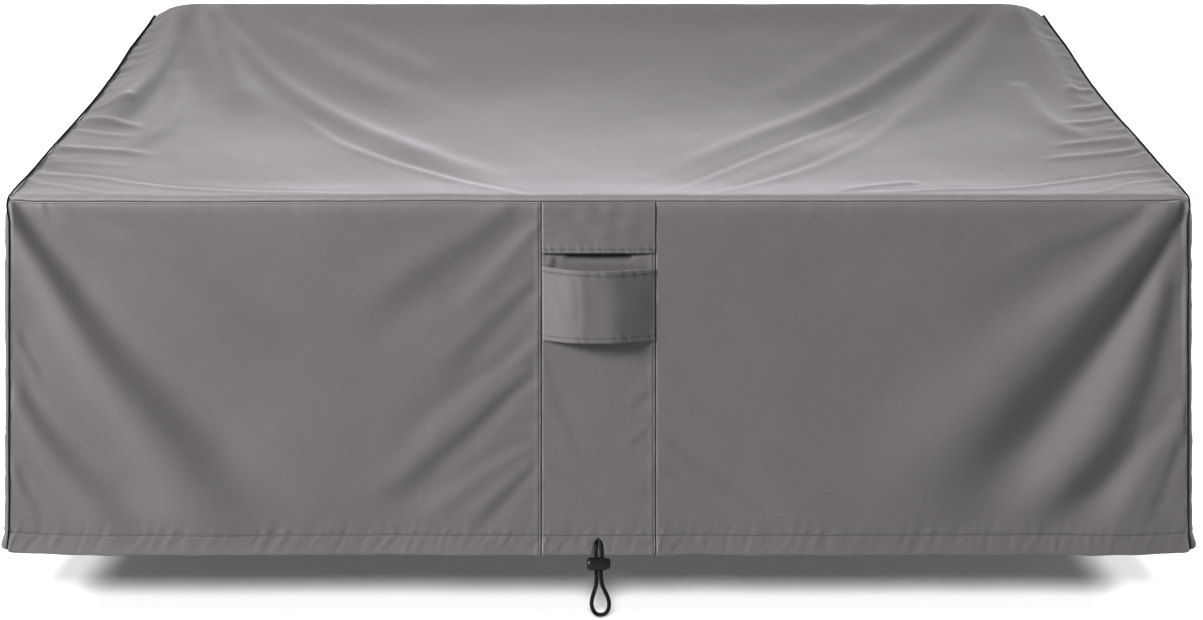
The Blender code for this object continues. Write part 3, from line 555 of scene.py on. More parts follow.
def stitch_shade(off, stitch=STITCH_OFF):
    """Painted shade in the groove of a line of stitches, on the same scale."""
    return 0.7 * bell(off - stitch, 0.0008)


def seam_allowance(off):
    """Thickness of the allowance behind a seam."""
    return SEAM_CLOTH * (1.0 - smooth((off - 0.0060) / 0.0040))


def puckers(seam, off, along, length, more_seed=0, slanted=1.0):
    """Short soft ridges and dips that run in from a seam, off it by off. Each has its own place, width,
    reach, height and slant, grows wider with the distance and dies out at its reach.
    """
    seed, spacing, reach, rise, slant = PUCKERS[seam]
    draw = np.random.default_rng(seed + more_seed)
    total = np.zeros_like(off)
    for place in np.arange(0.5 * spacing, length, spacing):
        middle = place + draw.uniform(-0.5, 0.5) * spacing
        far = reach * draw.uniform(0.35, 1.60)
        half = spacing * draw.uniform(0.20, 0.45) * (1.0 + 0.8 * off / far)
        t = (along - middle - (slant * slanted + draw.uniform(-0.35, 0.35)) * off) / half
        total += rise * draw.uniform(-0.9, 1.0) * np.exp(-t * t - (off / far) ** 2)
    return total * smooth(off / 0.0035)


# ---------------------------------------------------------------- shared mesh tools
def add_mesh(name, points, faces, material, flat_place, painted_shading=None):
    """A smooth mesh, moved into the frame's own coordinates. flat_place is each point's place on the flat
    cloth. The last argument is painted light: 1 is full painted shade deep in a seam, a groove or under the
    flap, 0 is even cloth, and below 0 is a painted highlight.
    """
    mesh = bpy.data.meshes.new(name)
    mesh.from_pydata((np.asarray(points) - ORIGIN).tolist(), [], faces)
    mesh.shade_smooth()
    corner = np.empty(len(mesh.loops), np.int32)
    mesh.loops.foreach_get("vertex_index", corner)
    layer = mesh.uv_layers.new(name="cloth")
    layer.data.foreach_set("uv", np.asarray(flat_place)[corner].astype(np.float32).ravel())
    if painted_shading is not None:
        values = painted_shading.astype(np.float32).ravel()
        mesh.attributes.new("painted_shading", "FLOAT", "POINT").data.foreach_set("value", values)
    mesh.materials.append(material)
    piece = bpy.data.objects.new(name, mesh)
    bpy.context.scene.collection.objects.link(piece)
    return piece


def grid_cells(rows, columns, closed=False):
    """Quads of a grid of points, wound so that they face out where rows go up and columns go right."""
    index = np.arange(rows * columns).reshape(rows, columns)
    if closed:
        index = np.column_stack((index, index[:, 0]))
    cells = (index[:-1, :-1], index[:-1, 1:], index[1:, 1:], index[1:, :-1])
    return np.stack(cells, axis=-1).reshape(-1, 4)


def add_cloth(name, outer, inner, flat_place, painted_shading, material):
    """A thin closed sheet: an outer grid, an inner grid and a rim between them."""
    rows, columns = outer.shape[:2]
    back = rows * columns
    index = np.arange(back).reshape(rows, columns)
    skin = grid_cells(rows, columns)
    edge = np.concatenate((index[0, :-1], index[:-1, -1], index[-1, :0:-1], index[:0:-1, 0]))
    onward = np.roll(edge, -1)
    rim = np.stack((onward, edge, edge + back, onward + back), axis=-1)
    faces = np.concatenate((skin, skin[:, ::-1] + back, rim))
    points = np.concatenate((outer.reshape(-1, 3), inner.reshape(-1, 3)))
    places = np.tile(flat_place.reshape(-1, 2), (2, 1))
    painted_shading = np.tile(np.clip(painted_shading, -1.0, 1.0).ravel(), 2)
    return add_mesh(name, points, faces.tolist(), material, places, painted_shading)


def surface_normals(points, ends_upright=False):
    """Outward normals of a grid whose rows go up and whose columns go right."""
    normal = np.cross(np.gradient(points, axis=1), np.gradient(points, axis=0))
    if ends_upright:
        normal[:, (0, -1), 0] = 0.0
    return unit(normal)


def add_rings(name, rings, start, end, place, material):
    """A round solid: rings of points, one after another, closed by a point at each end."""
    count, sides = rings.shape[:2]
    points = np.concatenate((rings.reshape(-1, 3), np.array((start, end))))
    body = grid_cells(count, sides, closed=True)
    first = np.arange(sides)
    after = np.roll(first, -1)
    last = (count - 1) * sides
    foot = np.stack((after, first, np.full(sides, count * sides)), axis=-1)
    head = np.stack((last + first, last + after, np.full(sides, count * sides + 1)), axis=-1)
    place = np.concatenate((place.reshape(-1, 2), (place[0, 0], place[-1, 0])))
    return add_mesh(name, points, body.tolist() + foot.tolist() + head.tolist(), material, place)


def add_tube(name, route, radius, sides, level, material):
    """A round cord: rings of points round a route, square to it, with closed ends that bulge by a hair.
    level is the direction that every ring keeps, and radius is one size or one for each point.
    """
    way = unit(np.gradient(route, axis=0))
    out = unit(np.cross(way, level))
    third = np.cross(way, out)
    turn = np.linspace(0.0, 2.0 * math.pi, sides, endpoint=False)
    reach = np.broadcast_to(radius, (len(route),))[:, None]
    spoke = out[:, None] * np.cos(turn)[:, None] + third[:, None] * np.sin(turn)[:, None]
    rings = route[:, None] + spoke * reach[..., None]
    place = np.stack(np.broadcast_arrays(turn * reach, passed_along(route)[:, None]), axis=-1)
    bulge = 0.0003
    return add_rings(name, rings, route[0] - way[0] * bulge, route[-1] + way[-1] * bulge, place, material)


# ---------------------------------------------------------------- the cover in side view
def lean_at(height, reach):
    """How far a hanging face stands out at a height: nothing at the roll, all of it at the hem."""
    return reach * np.clip(1.0 - height / ROLL_START, 0.0, 1.0)


def back_lean_at(height):
    """How far the hanging back stands out at a height: nothing under the ridge, all of it at the hem."""
    start = TOP_SECTIONS[-1][1]
    return BACK_LEAN * np.clip((start - height) / (start - HEM_HEIGHT), 0.0, 1.0)


def side_view():
    """The cover's outline as one dense line, from below the front hem over the top to below the back hem:
    the leaning front, the roll's arc, a smooth curve through the top's sections, and the leaning back. A
    row holds depth, end height and middle height.
    """
    front_height = np.linspace(-HEM_SLACK, ROLL_START, 240, endpoint=False)
    front = np.column_stack((-lean_at(front_height, FRONT_LEAN), front_height, front_height))
    turn = np.radians(np.linspace(0.0, TOP_ANGLE, 60, endpoint=False))
    roll_height = ROLL_START + ROLL_RADIUS * np.sin(turn)
    roll = np.column_stack((ROLL_RADIUS * (1.0 - np.cos(turn)), roll_height, roll_height))
    knots = np.array(TOP_SECTIONS)
    at_knot = passed_along(knots[:, :2])
    at = np.linspace(0.0, at_knot[-1], 900, endpoint=False)
    top = np.column_stack([curve_through(at_knot, column, at) for column in knots.T])
    share = np.linspace(0.0, 1.0, 300)
    end, middle = (knots[-1, i] + (-HEM_SLACK - knots[-1, i]) * share for i in (1, 2))
    back = np.column_stack((DEPTH + back_lean_at(end), end, middle))
    return np.concatenate((front, roll, top, back))


OUTLINE = side_view()
OUTLINE_RUN = passed_along(OUTLINE[:, :2]) - HEM_SLACK
SEAM_RUN = ROLL_START + ROLL_RADIUS * math.radians(SEAM_ANGLE) + 0.00075  # which the lean adds to the front
RIDGE_RUN = float(OUTLINE_RUN[np.argmax(OUTLINE[:, 0] >= RIDGE_SEAM_DEPTH)])
END_RUN = float(OUTLINE_RUN[-1]) - HEM_SLACK


def half_width_at(depth, height):
    """Distance from the middle to the piping's own line: it comes in towards the ridge, flares out to the
    hem, and runs a little inside the bulge of the hanging ends.
    """
    low = np.clip(1.0 - height / ROLL_START, 0.0, 1.0)
    hanging = smooth((0.616 - height) / 0.036) * (0.45 + 0.55 * smooth(height / 0.050))
    inset = (FRONT_INSET + HEM_INSET * low) * hanging
    taper = RIDGE_TAPER * smooth((depth - 0.750) / 0.180) * smooth((height - 0.450) / 0.350)
    return HALF_WIDTH + SIDE_FLARE * low - inset - taper


def wrap_base(across, run):
    """The strip of cloth that goes up the front, over the top and down the back, without folds: at each
    length along the outline, the height eases from the middle's to the ends', and the width grows with
    the flare.
    """
    depth, end, middle = (np.interp(run, OUTLINE_RUN, column) for column in OUTLINE.T)
    share = np.abs(across) / HALF_WIDTH
    reach = FRONT_END_REACH + (RIDGE_END_REACH - FRONT_END_REACH) * np.clip(depth / DEPTH, 0.0, 1.0) ** 2
    power = 2.0 + 1.5 * smooth((depth - 0.800) / 0.130)
    height = middle + (end - middle) * np.clip((share - 1.0 + reach) / reach, 0.0, 1.0) ** power
    placed = across / HALF_WIDTH * (half_width_at(depth, height) - PANEL_TUCK)
    return np.stack((placed, depth, height), axis=-1)


def seam_run_at(across):
    """The front seam's place along the outline. It climbs a little near the piping."""
    return SEAM_RUN + SEAM_CLIMB * smooth((np.abs(across) - 0.955) / 0.040)


def hem_wave(along, from_hem, seed):
    """Uneven rise and fall of a hem, which dies out up the cloth."""
    return 0.0008 * ripple(along, 0.110, seed) * (1.0 - smooth(from_hem / 0.060))


def hem_lift(across, from_hem, seed):
    """How far the cloth of the front or back is lifted near its hem, which climbs towards the corners, is
    rounded off at the last, and waves.
    """
    from_corner = np.clip((np.abs(across) - 0.990) / 0.010, 0.0, 1.0)
    climb = HEM_CLIMB * smooth((np.abs(across) - 0.900) / 0.100)
    climb = climb + HEM_CORNER * (1.0 - np.sqrt(1.0 - from_corner**2))
    return climb * (1.0 - smooth(from_hem / 0.200)) + hem_wave(across, from_hem, seed)


def hem_hold(from_hem):
    """Share of a fold's rise that the stiff hem lets through."""
    return 0.45 + 0.55 * smooth(from_hem / 0.060)


def hem_rise(off, along, seed):
    """Relief of a hem: it kicks out towards its edge, and its stitching lies in a groove, with slanting
    gathers that run from the thread into the hem and up into the cloth.
    """
    share = np.clip(off / HEM_STITCH, 0.0, 1.0)
    swell = 0.0038 * (1.0 - share) ** 1.7
    groove = 0.0007 * bell(off - HEM_STITCH, 0.0011)
    along = along - along.min()
    length = along.max()
    above = puckers("above_hem", np.clip(off - HEM_STITCH, 0.0, None), along, length, seed)
    below = puckers("in_hem", np.clip(HEM_STITCH - off, 0.0, None), along, length, seed)
    return swell - groove + above + below * (0.35 + 0.65 * smooth(off / 0.012))


def hem_thickness(from_hem):
    """Thickness of the cloth, doubled at the hem."""
    return np.where(from_hem < HEM_DOUBLED, HEM_CLOTH, CLOTH)


def slow_swell(across, run):
    """The cloth's slow unevenness, the same for all panels of the wrap, so that they meet at their seams.
    It is calmer at the ridge, and dies out towards the piping.
    """
    past_ridge = run - RIDGE_RUN
    ridge = smooth((past_ridge + 0.060) / 0.040) * (1.0 - smooth((past_ridge - 0.020) / 0.040))
    wide = 0.0013 * sway(across, run, 0.36, 11) * (1.0 - 0.7 * ridge)
    wide = wide + 0.0002 * sway(across, run, 0.090, 12, waves=22)
    return wide * smooth((HALF_WIDTH - np.abs(across)) / 0.030)


def add_raised(name, base, soft, detail, off, thick, flat_place, painted_shading, material):
    """A sheet on its base surface: the slow relief moves both skins, and the sewing's detail the outer
    one alone. off is the distance from the nearest seam, where the cloth has its allowance behind it.
    """
    normal = surface_normals(base, ends_upright=True)
    outer = base + normal * (soft + detail)[..., None]
    inner = base + normal * (soft - thick - seam_allowance(off) - SKIN_GAP)[..., None]
    return add_cloth(name, outer, inner, np.stack(flat_place, axis=-1), painted_shading, material), outer


def stitch_line(outer, places, at, axis=0):
    """The row of a panel's grid whose place is nearest to a given one, or the column with axis 1, and its
    normals, for stitches to lie on.
    """
    nearest = int(np.argmin(np.abs(places - at)))
    return outer.take(nearest, axis), surface_normals(outer).take(nearest, axis)


# ---------------------------------------------------------------- the wrap's panels
def add_front_panel(name, start, end, lipped, material):
    """One of the front's three panels, between two places across. Its top edge is topstitched, and so is
    its right edge where it is lipped.
    """
    step_across, step_up = GRID_STEPS["front"]
    places = start + graded(end - start, step_across, EDGE_STEPS, EDGE_STEPS)
    notched = start < 0.0 < end
    if notched:
        near = np.array([x for x, _ in NOTCH_COLUMNS])
        far = places[np.abs(places) > NOTCH_CLEAR]
        places = np.sort(np.concatenate((far, near, -near[1:])))
    rows = graded(SEAM_RUN, step_up, HEM_STEPS, EDGE_STEPS)
    across, place = np.meshgrid(places, rows)
    run = place * seam_run_at(across) / SEAM_RUN + hem_lift(across, place, 31)
    edge_off, hem_off = place, place
    if notched:
        arch = np.array(NOTCH_COLUMNS).T
        run = run + np.interp(np.abs(across), *arch) * np.clip(1.0 - place / 0.0335, 0.0, 1.0)
        line = np.linspace(-1.0, 1.0, 241) * arch[0, -1]
        line_height = np.interp(np.abs(line), *arch)
        from_notch = np.hypot(across[..., None] - line, run[..., None] - line_height).min(axis=-1)
        edge_off = np.where(place < NOTCH_ZONE, np.minimum(run, from_notch), place)
        hem_off = np.where(place < NOTCH_ZONE, run, place)
    base = wrap_base(across, run)
    off_left, off_right, off_top = across - start, end - across, SEAM_RUN - place
    off_side = np.minimum(off_left, off_right)
    off_end = HALF_WIDTH - np.abs(across)
    fade = smooth(off_end / FOLD_FADE) * smooth(off_top / FOLD_FADE) * hem_hold(place)
    fade = fade * smooth((np.abs(across) - STRIP_HALF) / FOLD_FADE)
    soft = fold_rise(base[..., 0], base[..., 2], FRONT_FOLDS) * fade + slow_swell(across, run)
    lip_off = np.minimum(off_side + PIPED_LIP * (off_end < 0.05), off_top)
    detail = hem_rise(hem_off, across, 41) + turned_edge(np.minimum(lip_off, edge_off)) + topstitched(off_top)
    detail = detail + puckers("front_top", off_top, off_left, end - start)
    # painted shade in the top seam and in the grooves of the hem's and the top edge's stitching, and a
    # painted highlight along the front seam
    painted_shading = seam_shade(off_top) + stitch_shade(hem_off, HEM_STITCH) + stitch_shade(off_top)
    painted_shading = painted_shading - 0.7 * EDGE_HIGHLIGHT * np.exp(-off_top / 0.009)
    # painted shade in the seams to the other front panels
    for side, edge, off in ((-1, start, off_left), (1, end, off_right)):
        if abs(edge) < HALF_WIDTH:
            painted_shading = painted_shading + seam_shade(off)
        detail = detail + puckers("front_sides", off, run, SEAM_RUN, side)
    if lipped:
        detail = detail + topstitched(off_right)
        # painted shade in the groove of the right edge's stitching
        painted_shading = painted_shading + stitch_shade(off_right)
    if notched:
        # under the flap's lower edge the strip sinks a little, and a painted shadow darkens it
        sag = VENT_SAG * (1.0 - (np.abs(across) / (STRIP_HALF - 0.003)) ** 2.5)
        opening = smooth((base[..., 2] - FLAP_BOTTOM + 0.0005 + sag) / 0.0012)
        opening = opening * (1.0 - smooth((base[..., 2] - FLAP_BOTTOM - 0.020) / 0.015))
        soft = soft + fold_rise(base[..., 0], base[..., 2], STRIP_FOLDS)
        soft = soft - 0.0035 * opening * smooth(off_side / 0.012)
        painted_shading = painted_shading + 0.8 * opening
    off = np.minimum(off_side, off_top)
    thick = hem_thickness(place)
    made, outer = add_raised(name, base, soft, detail, off, thick, (across, run), painted_shading, material)
    lines = [stitch_line(outer, rows, at) for at in (HEM_STITCH, SEAM_RUN - STITCH_OFF)]
    if lipped:
        lines.append(stitch_line(outer, places, end - STITCH_OFF, axis=1))
    return made, lines


def add_top(material):
    """The top, from the front seam to the ridge. Behind the seam it rises like a low cushion, which dies
    out over the next hand's width, and then it sinks by as little.
    """
    width, length = 2.0 * HALF_WIDTH, RIDGE_RUN - SEAM_RUN
    rows, across, place = graded_grid("top", width, length, EDGE_STEPS, EDGE_STEPS, EDGE_STEPS)
    low = seam_run_at(across)
    run = low + (RIDGE_RUN - low) * place / length
    base = wrap_base(across, run)
    depth = base[..., 1]
    off_end = HALF_WIDTH - np.abs(across)
    off_back = length - place
    off_seam = np.minimum(place, off_back)
    fade = smooth(off_end / FOLD_FADE) * smooth(place / 0.012) * smooth(off_back / 0.016)
    soft = fold_rise(base[..., 0], depth, TOP_FOLDS) * fade + slow_swell(across, run)
    cushion = 0.0056 * (1.0 - np.exp(-place / 0.004)) * np.exp(-place / 0.042)
    hollow = 0.0035 * smooth(place / 0.110) * (1.0 - smooth((depth - 0.160) / 0.300))
    soft = soft + (cushion - hollow) * smooth(off_end / 0.030)
    detail = turned_edge(np.minimum(off_seam, off_end + PIPED_LIP)) + topstitched(off_back)
    detail = detail + puckers("top_front", place, across + HALF_WIDTH, width)
    detail = detail + puckers("top_ridge", off_back, across + HALF_WIDTH, width)
    for side in (-1, 1):
        off_this = HALF_WIDTH + side * across
        detail = detail + puckers("top_ends", off_this, place, length, side, smooth((depth - 0.35) / 0.30))
    # painted highlight just behind the front seam and along the ends, and painted shade in the seams and the
    # ridge's stitch groove
    painted_highlight = bell(place, 0.024) + 0.5 * bell(off_end - 0.003, 0.003)
    painted_shading = seam_shade(off_seam) + stitch_shade(off_back) - EDGE_HIGHLIGHT * painted_highlight
    off = np.minimum(off_seam, off_end)
    thick = np.full_like(across, CLOTH)
    made, outer = add_raised("top_cloth", base, soft, detail, off, thick, (across, run), painted_shading, material)
    return made, [stitch_line(outer, rows, length - STITCH_OFF)]


def add_back(material):
    """The back, from the ridge down to its hem. Its rows go down, from the ridge on."""
    width, length = 2.0 * HALF_WIDTH, END_RUN - RIDGE_RUN
    rows, across, place = graded_grid("back", width, length, EDGE_STEPS, EDGE_STEPS, HEM_STEPS)
    off_hem = length - place
    run = RIDGE_RUN + place - hem_lift(across, off_hem, 32)
    base = wrap_base(across, run)
    off_end = HALF_WIDTH - np.abs(across)
    off = np.minimum(place, off_end)
    fade = smooth(off_end / FOLD_FADE) * smooth(place / 0.030) * hem_hold(off_hem)
    soft = fold_rise(base[..., 0], base[..., 2], BACK_FOLDS) * fade + slow_swell(across, run)
    detail = turned_edge(np.minimum(off, off_hem)) + hem_rise(off_hem, across, 61)
    detail = detail + puckers("back_ridge", place, across + HALF_WIDTH, width)
    for side in (-1, 1):
        detail = detail + puckers("back_ends", HALF_WIDTH + side * across, place, length, side)
    # painted shade in the ridge seam, faintly at the piped ends, and in the hem's stitch groove
    painted_shading = seam_shade(place) + 0.3 * seam_shade(off_end) + stitch_shade(off_hem, HEM_STITCH)
    thick = hem_thickness(off_hem)
    made, outer = add_raised("back_cloth", base, soft, detail, off, thick, (across, run), painted_shading, material)
    return made, [stitch_line(outer, rows, length - HEM_STITCH)]


# ---------------------------------------------------------------- the ends and their piping
def add_end(name, side, material):
    """One end of the cover. Columns stand from the hem up to the outline, rows go up, and the cloth puffs
    out a little past its piping, by a quarter of an ellipse at each upright edge.
    """
    crown = OUTLINE[(OUTLINE[:, 1] >= ROLL_START) & (OUTLINE[:, 0] <= DEPTH + 0.0001)]
    first, last = 0.0008, DEPTH - 0.0008
    head_depth = first + graded(last - first, 0.0105, EDGE_STEPS, EDGE_STEPS)
    head_height = np.interp(head_depth, crown[:, 0], crown[:, 1]) - 0.0006
    share = (head_depth - first) / (last - first)
    foot = first - FRONT_LEAN + share * (last + BACK_LEAN - first + FRONT_LEAN)
    low, fine = np.array(HEM_STEPS)[:, None], np.array(EDGE_STEPS)[::-1, None]
    inside = np.linspace(0.0, 1.0, 74)[1:-1, None]
    even = np.ones_like(head_height)[None]
    between = low[-1] + (head_height - fine[0] - low[-1]) * inside
    height = np.concatenate((low * even, between, head_height - fine))
    depth = foot + (head_depth - foot) * height / head_height
    depth[:, 0] = first - lean_at(height[:, 0], FRONT_LEAN)
    depth[:, -1] = last + back_lean_at(height[:, -1])
    off_top = head_height - height
    off_side = np.minimum(depth - depth[:, :1], depth[:, -1:] - depth)
    off = np.minimum(off_top, off_side)
    corner = HEM_CORNER * (1.0 - smooth(off_side / 0.020)) + HEM_CLIMB * (1.0 - smooth(off_side / 0.100))
    hung = height + corner * (1.0 - smooth(height / 0.060)) + hem_wave(depth, height, 33)
    side_round = 1.0 - np.clip(off_side / PUFF_REACH, 0.0, 1.0)
    foot_round = 1.0 - np.clip(height / PUFF_REACH, 0.0, 1.0)
    puff = PUFF * np.sqrt(1.0 - side_round**2) * smooth(off_top / 0.034)
    puff = puff * (0.45 + 0.55 * np.sqrt(1.0 - foot_round**2))
    soft = puff + fold_rise(depth, height, SIDE_FOLDS) * smooth(off / 0.030) * hem_hold(height)
    soft = soft + 0.0012 * sway(depth, height, 0.30, 71 + side) * smooth(off / 0.020)
    detail = turned_edge(np.minimum(off + PIPED_LIP, height)) + hem_rise(height, depth, 73)
    detail = detail + puckers("end_edges", off_top, depth + FRONT_LEAN, DEPTH + FRONT_LEAN + BACK_LEAN)
    detail = detail + puckers("end_edges", off_side, height, 0.86, 1)
    # painted shade in the hem's stitch groove
    painted_shading = stitch_shade(height, HEM_STITCH)
    thick = hem_thickness(height) + seam_allowance(off) + SKIN_GAP
    across = half_width_at(depth, height) + 0.0004
    outer = np.stack((side * (across + soft + detail), depth, hung), axis=-1)
    inner = np.stack((side * (across + soft - thick), depth, hung), axis=-1)
    place = np.stack((depth, height), axis=-1)
    if side < 0:
        outer, inner, place, painted_shading = outer[:, ::-1], inner[:, ::-1], place[:, ::-1], painted_shading[:, ::-1]
    made = add_cloth(name, outer, inner, place, painted_shading, material)
    return made, [stitch_line(outer, low[:, 0], HEM_STITCH)]


def add_piping(name, side, material):
    """Piping along one end's outline, from hem to hem. Both of its ends lie inside the hem."""
    run = np.linspace(0.0100, END_RUN - 0.0100, 620)
    line = read_line(run, OUTLINE_RUN, OUTLINE[:, :2])
    way = unit(np.gradient(line, axis=0))
    wander = 0.0002 * ripple(run, 0.140, 81 + side) + 0.0001 * ripple(run, 0.030, 84 + side)
    loose = smooth((line[:, 1] - 0.605) / 0.030)
    radius = PIPING_RADIUS + (PIPING_FULL - PIPING_RADIUS) * loose * (0.7 + 0.3 * line[:, 0] / DEPTH)
    across = side * (half_width_at(*line.T) + PIPING_OUT + wander)
    line = line + (PIPING_OUT + PIPING_LIFT * loose)[:, None] * np.column_stack((-way[:, 1], way[:, 0]))
    return add_tube(name, np.column_stack((across, line)), radius, 14, (1.0, 0.0, 0.0), material)


# ---------------------------------------------------------------- the centre strip's fittings
def strip_face(height):
    """Depth of the strip's face at a height, and the depth and height parts of its outward normal."""
    turn = np.arcsin(np.clip((height - ROLL_START) / ROLL_RADIUS, 0.0, 1.0))
    lean = np.where(height < ROLL_START, math.atan(FRONT_LEAN / ROLL_START), 0.0)
    depth = ROLL_RADIUS * (1.0 - np.cos(turn)) - lean_at(height, FRONT_LEAN)
    return depth, -np.cos(turn + lean), np.sin(turn + lean)


def add_sewn(name, across, height, belly, detail, painted_shading, cloth, material):
    """A sheet over the strip. belly is how far its inner side stands off the strip, and detail its own
    relief.
    """
    depth, out_depth, out_height = strip_face(height)
    skins = []
    for off in (belly + SEWN_GAP + cloth + detail, belly + SEWN_GAP):
        skins.append(np.stack((across, depth + out_depth * off, height + out_height * off), axis=-1))
    place = np.stack((across, height), axis=-1)
    return add_cloth(name, *skins, place, painted_shading, material), skins[0]


def add_vent_flap(material):
    """The vent flap: tight at its top and sides, and bellied out along its free, hemmed lower edge."""
    half = STRIP_HALF - 0.0002
    length = FLAP_TOP + FLAP_TURNED - FLAP_BOTTOM
    rows, across, up = graded_grid("flap", 2.0 * half, length, EDGE_STEPS[:5], FLAP_STEPS, (0.0,))
    off_side = half - np.abs(across)
    arch = np.clip(1.0 - (across / half) ** 2, 0.0, 1.0)
    free = np.clip(1.0 - up / length, 0.0, 1.0)
    height = FLAP_BOTTOM + up + 0.0010 * arch * free
    belly = FLAP_BELLY * arch * free**1.5 + 0.0007 * sway(across, height, 0.036, 91) * arch
    gathers = 0.0005 * ripple(across + 0.3 * up, 0.013, 92) * (1.0 - smooth((up - 0.007) / 0.012))
    detail = hemmed_edge(up, FLAP_STITCH) + turned_edge(off_side) + gathers
    detail = detail + puckers("flap_sides", off_side, up, length)
    # painted shade in the side seams and the hem's stitch groove
    painted_shading = seam_shade(off_side) + stitch_shade(up, FLAP_STITCH)
    made, outer = add_sewn("vent_flap_cloth", across, height, belly, detail, painted_shading, CLOTH, material)
    return made, [stitch_line(outer, rows, FLAP_STITCH)]


def add_handle_strap(material):
    """The handle strap: sewn in at both ends and bowed forward. Its outer parts slope evenly and its
    middle is flat. Each side's bow is u / (1 + u to the eighth) to the one eighth, where u grows from 0
    at the end to 1 at the middle part: 0.28 of the width from the left end, and 0.37 of it from the right
    one.
    """
    half = STRIP_HALF - 0.0002
    length = STRAP_TOP - STRAP_BOTTOM
    rows, across, up = graded_grid("strap", 2.0 * half, length, EDGE_STEPS[:5], STRAP_STEPS, STRAP_STEPS)
    share = across / half
    off_side = half - np.abs(across)
    edge = np.minimum(up, length - up)
    left, right = (1.0 + share) / 0.56, (1.0 - share) / 0.74
    bow = STRAP_BELLY * left / (1.0 + left**8) ** 0.125 * right / (1.0 + right**8) ** 0.125
    height = STRAP_BOTTOM + up - 0.0020 * share * up / length
    height = height + 0.0012 * (1.0 - 2.0 * up / length) * (1.0 - share**2)
    slack = fold_rise(across, height, STRAP_FOLDS) + 0.0006 * sway(across, height, 0.070, 95)
    belly = np.maximum(bow + slack * smooth((1.0 - np.abs(share)) / 0.12), 0.0)
    gathers = 0.0004 * ripple(across + 0.4 * up, 0.013, 96) * (1.0 - smooth((edge - 0.008) / 0.012))
    detail = hemmed_edge(edge, STRAP_STITCH) + turned_edge(off_side) + gathers
    # painted shade in the side seams and the stitch grooves along both edges
    painted_shading = seam_shade(off_side) + stitch_shade(edge, STRAP_STITCH)
    made, outer = add_sewn("handle_strap_cloth", across, height, belly, detail, painted_shading, STRAP_CLOTH, material)
    return made, [stitch_line(outer, rows, at) for at in (STRAP_STITCH, length - STRAP_STITCH)]


# ---------------------------------------------------------------- stitches
def add_stitches(name, lines, material):
    """Thread stitches laid end to end along lines of cloth, with a short gap where the thread dips. A
    stitch is a slim spindle: two ends and two rings of four points between them, raised in the middle.
    """
    half = np.array(((-1.0, 0, 0), (-0.55, 1, 0), (-0.55, 0, 1), (-0.55, -1, 0), (-0.55, 0, -1)))
    spindle = np.concatenate((half, half[1:] * (-1.0, 1.0, 1.0), ((1.0, 0.0, 0.0),)))
    local = spindle * (STITCH_LENGTH / 2.0, THREAD_RADIUS, THREAD_RADIUS)
    skin = []
    for i in range(4):
        after = (i + 1) % 4
        skin += [(0, 1 + after, 1 + i), (1 + i, 1 + after, 5 + after), (1 + i, 5 + after, 5 + i)]
        skin.append((9, 5 + i, 5 + after))
    skin = np.array(skin)
    points, faces, places, count = [], [], [], 0
    for line, normals in lines:
        passed = passed_along(line)
        at = np.arange(0.006, passed[-1] - 0.006, STITCH_PITCH)
        middle, out = read_line(at, passed, line), read_line(at, passed, normals)
        way = unit(read_line(at + 0.0006, passed, line) - middle)
        aside = np.cross(out, way)
        made = middle[:, None] + local[None, :, :1] * way[:, None] + local[None, :, 1:2] * aside[:, None]
        points.append((made + (local[None, :, 2:] + STITCH_LIFT) * out[:, None]).reshape(-1, 3))
        first = count + len(spindle) * np.arange(len(at))
        faces.append((skin[None] + first[:, None, None]).reshape(-1, 3))
        along = at[:, None] + local[None, :, 0]
        places.append(np.stack((along, np.broadcast_to(local[:, 1], along.shape)), axis=-1).reshape(-1, 2))
        count += len(spindle) * len(at)
    points, faces, places = (np.concatenate(part) for part in (points, faces, places))
    return add_mesh(name, points, faces.tolist(), material, places)


# ---------------------------------------------------------------- the lock
def lock_end(edge, reach, radius, rounding, steps=9):
    """Profile of a rounded end, from the axis to the full radius. reach is 1 or -1, the way the end
    faces.
    """
    turn = np.linspace(0.0, math.pi / 2.0, steps)
    along = edge - reach * rounding * (1.0 - np.cos(turn))
    return [(edge, 0.0), *zip(along, radius - rounding * (1.0 - np.sin(turn)))]


def add_turned(name, profile, material, segments=56):
    """Turn a closed profile of (along, radius) pairs round the lock's axis, which runs across the cord."""
    along, radius = np.array(profile).T[..., None]
    turn = np.linspace(0.0, 2.0 * math.pi, segments, endpoint=False)
    axis = np.array((0.0, LOCK_DEPTH - FRONT_LEAN, LOCK_HEIGHT))
    rings = np.stack(np.broadcast_arrays(along, radius * np.cos(turn), radius * np.sin(turn)), axis=-1)
    place = np.stack(np.broadcast_arrays(turn * BARREL_RADIUS, along), axis=-1)
    start, end = (axis + (float(at), 0.0, 0.0) for at in along[(0, -1), 0])
    return add_rings(name, rings[1:-1] + axis, start, end, place[1:-1], material)


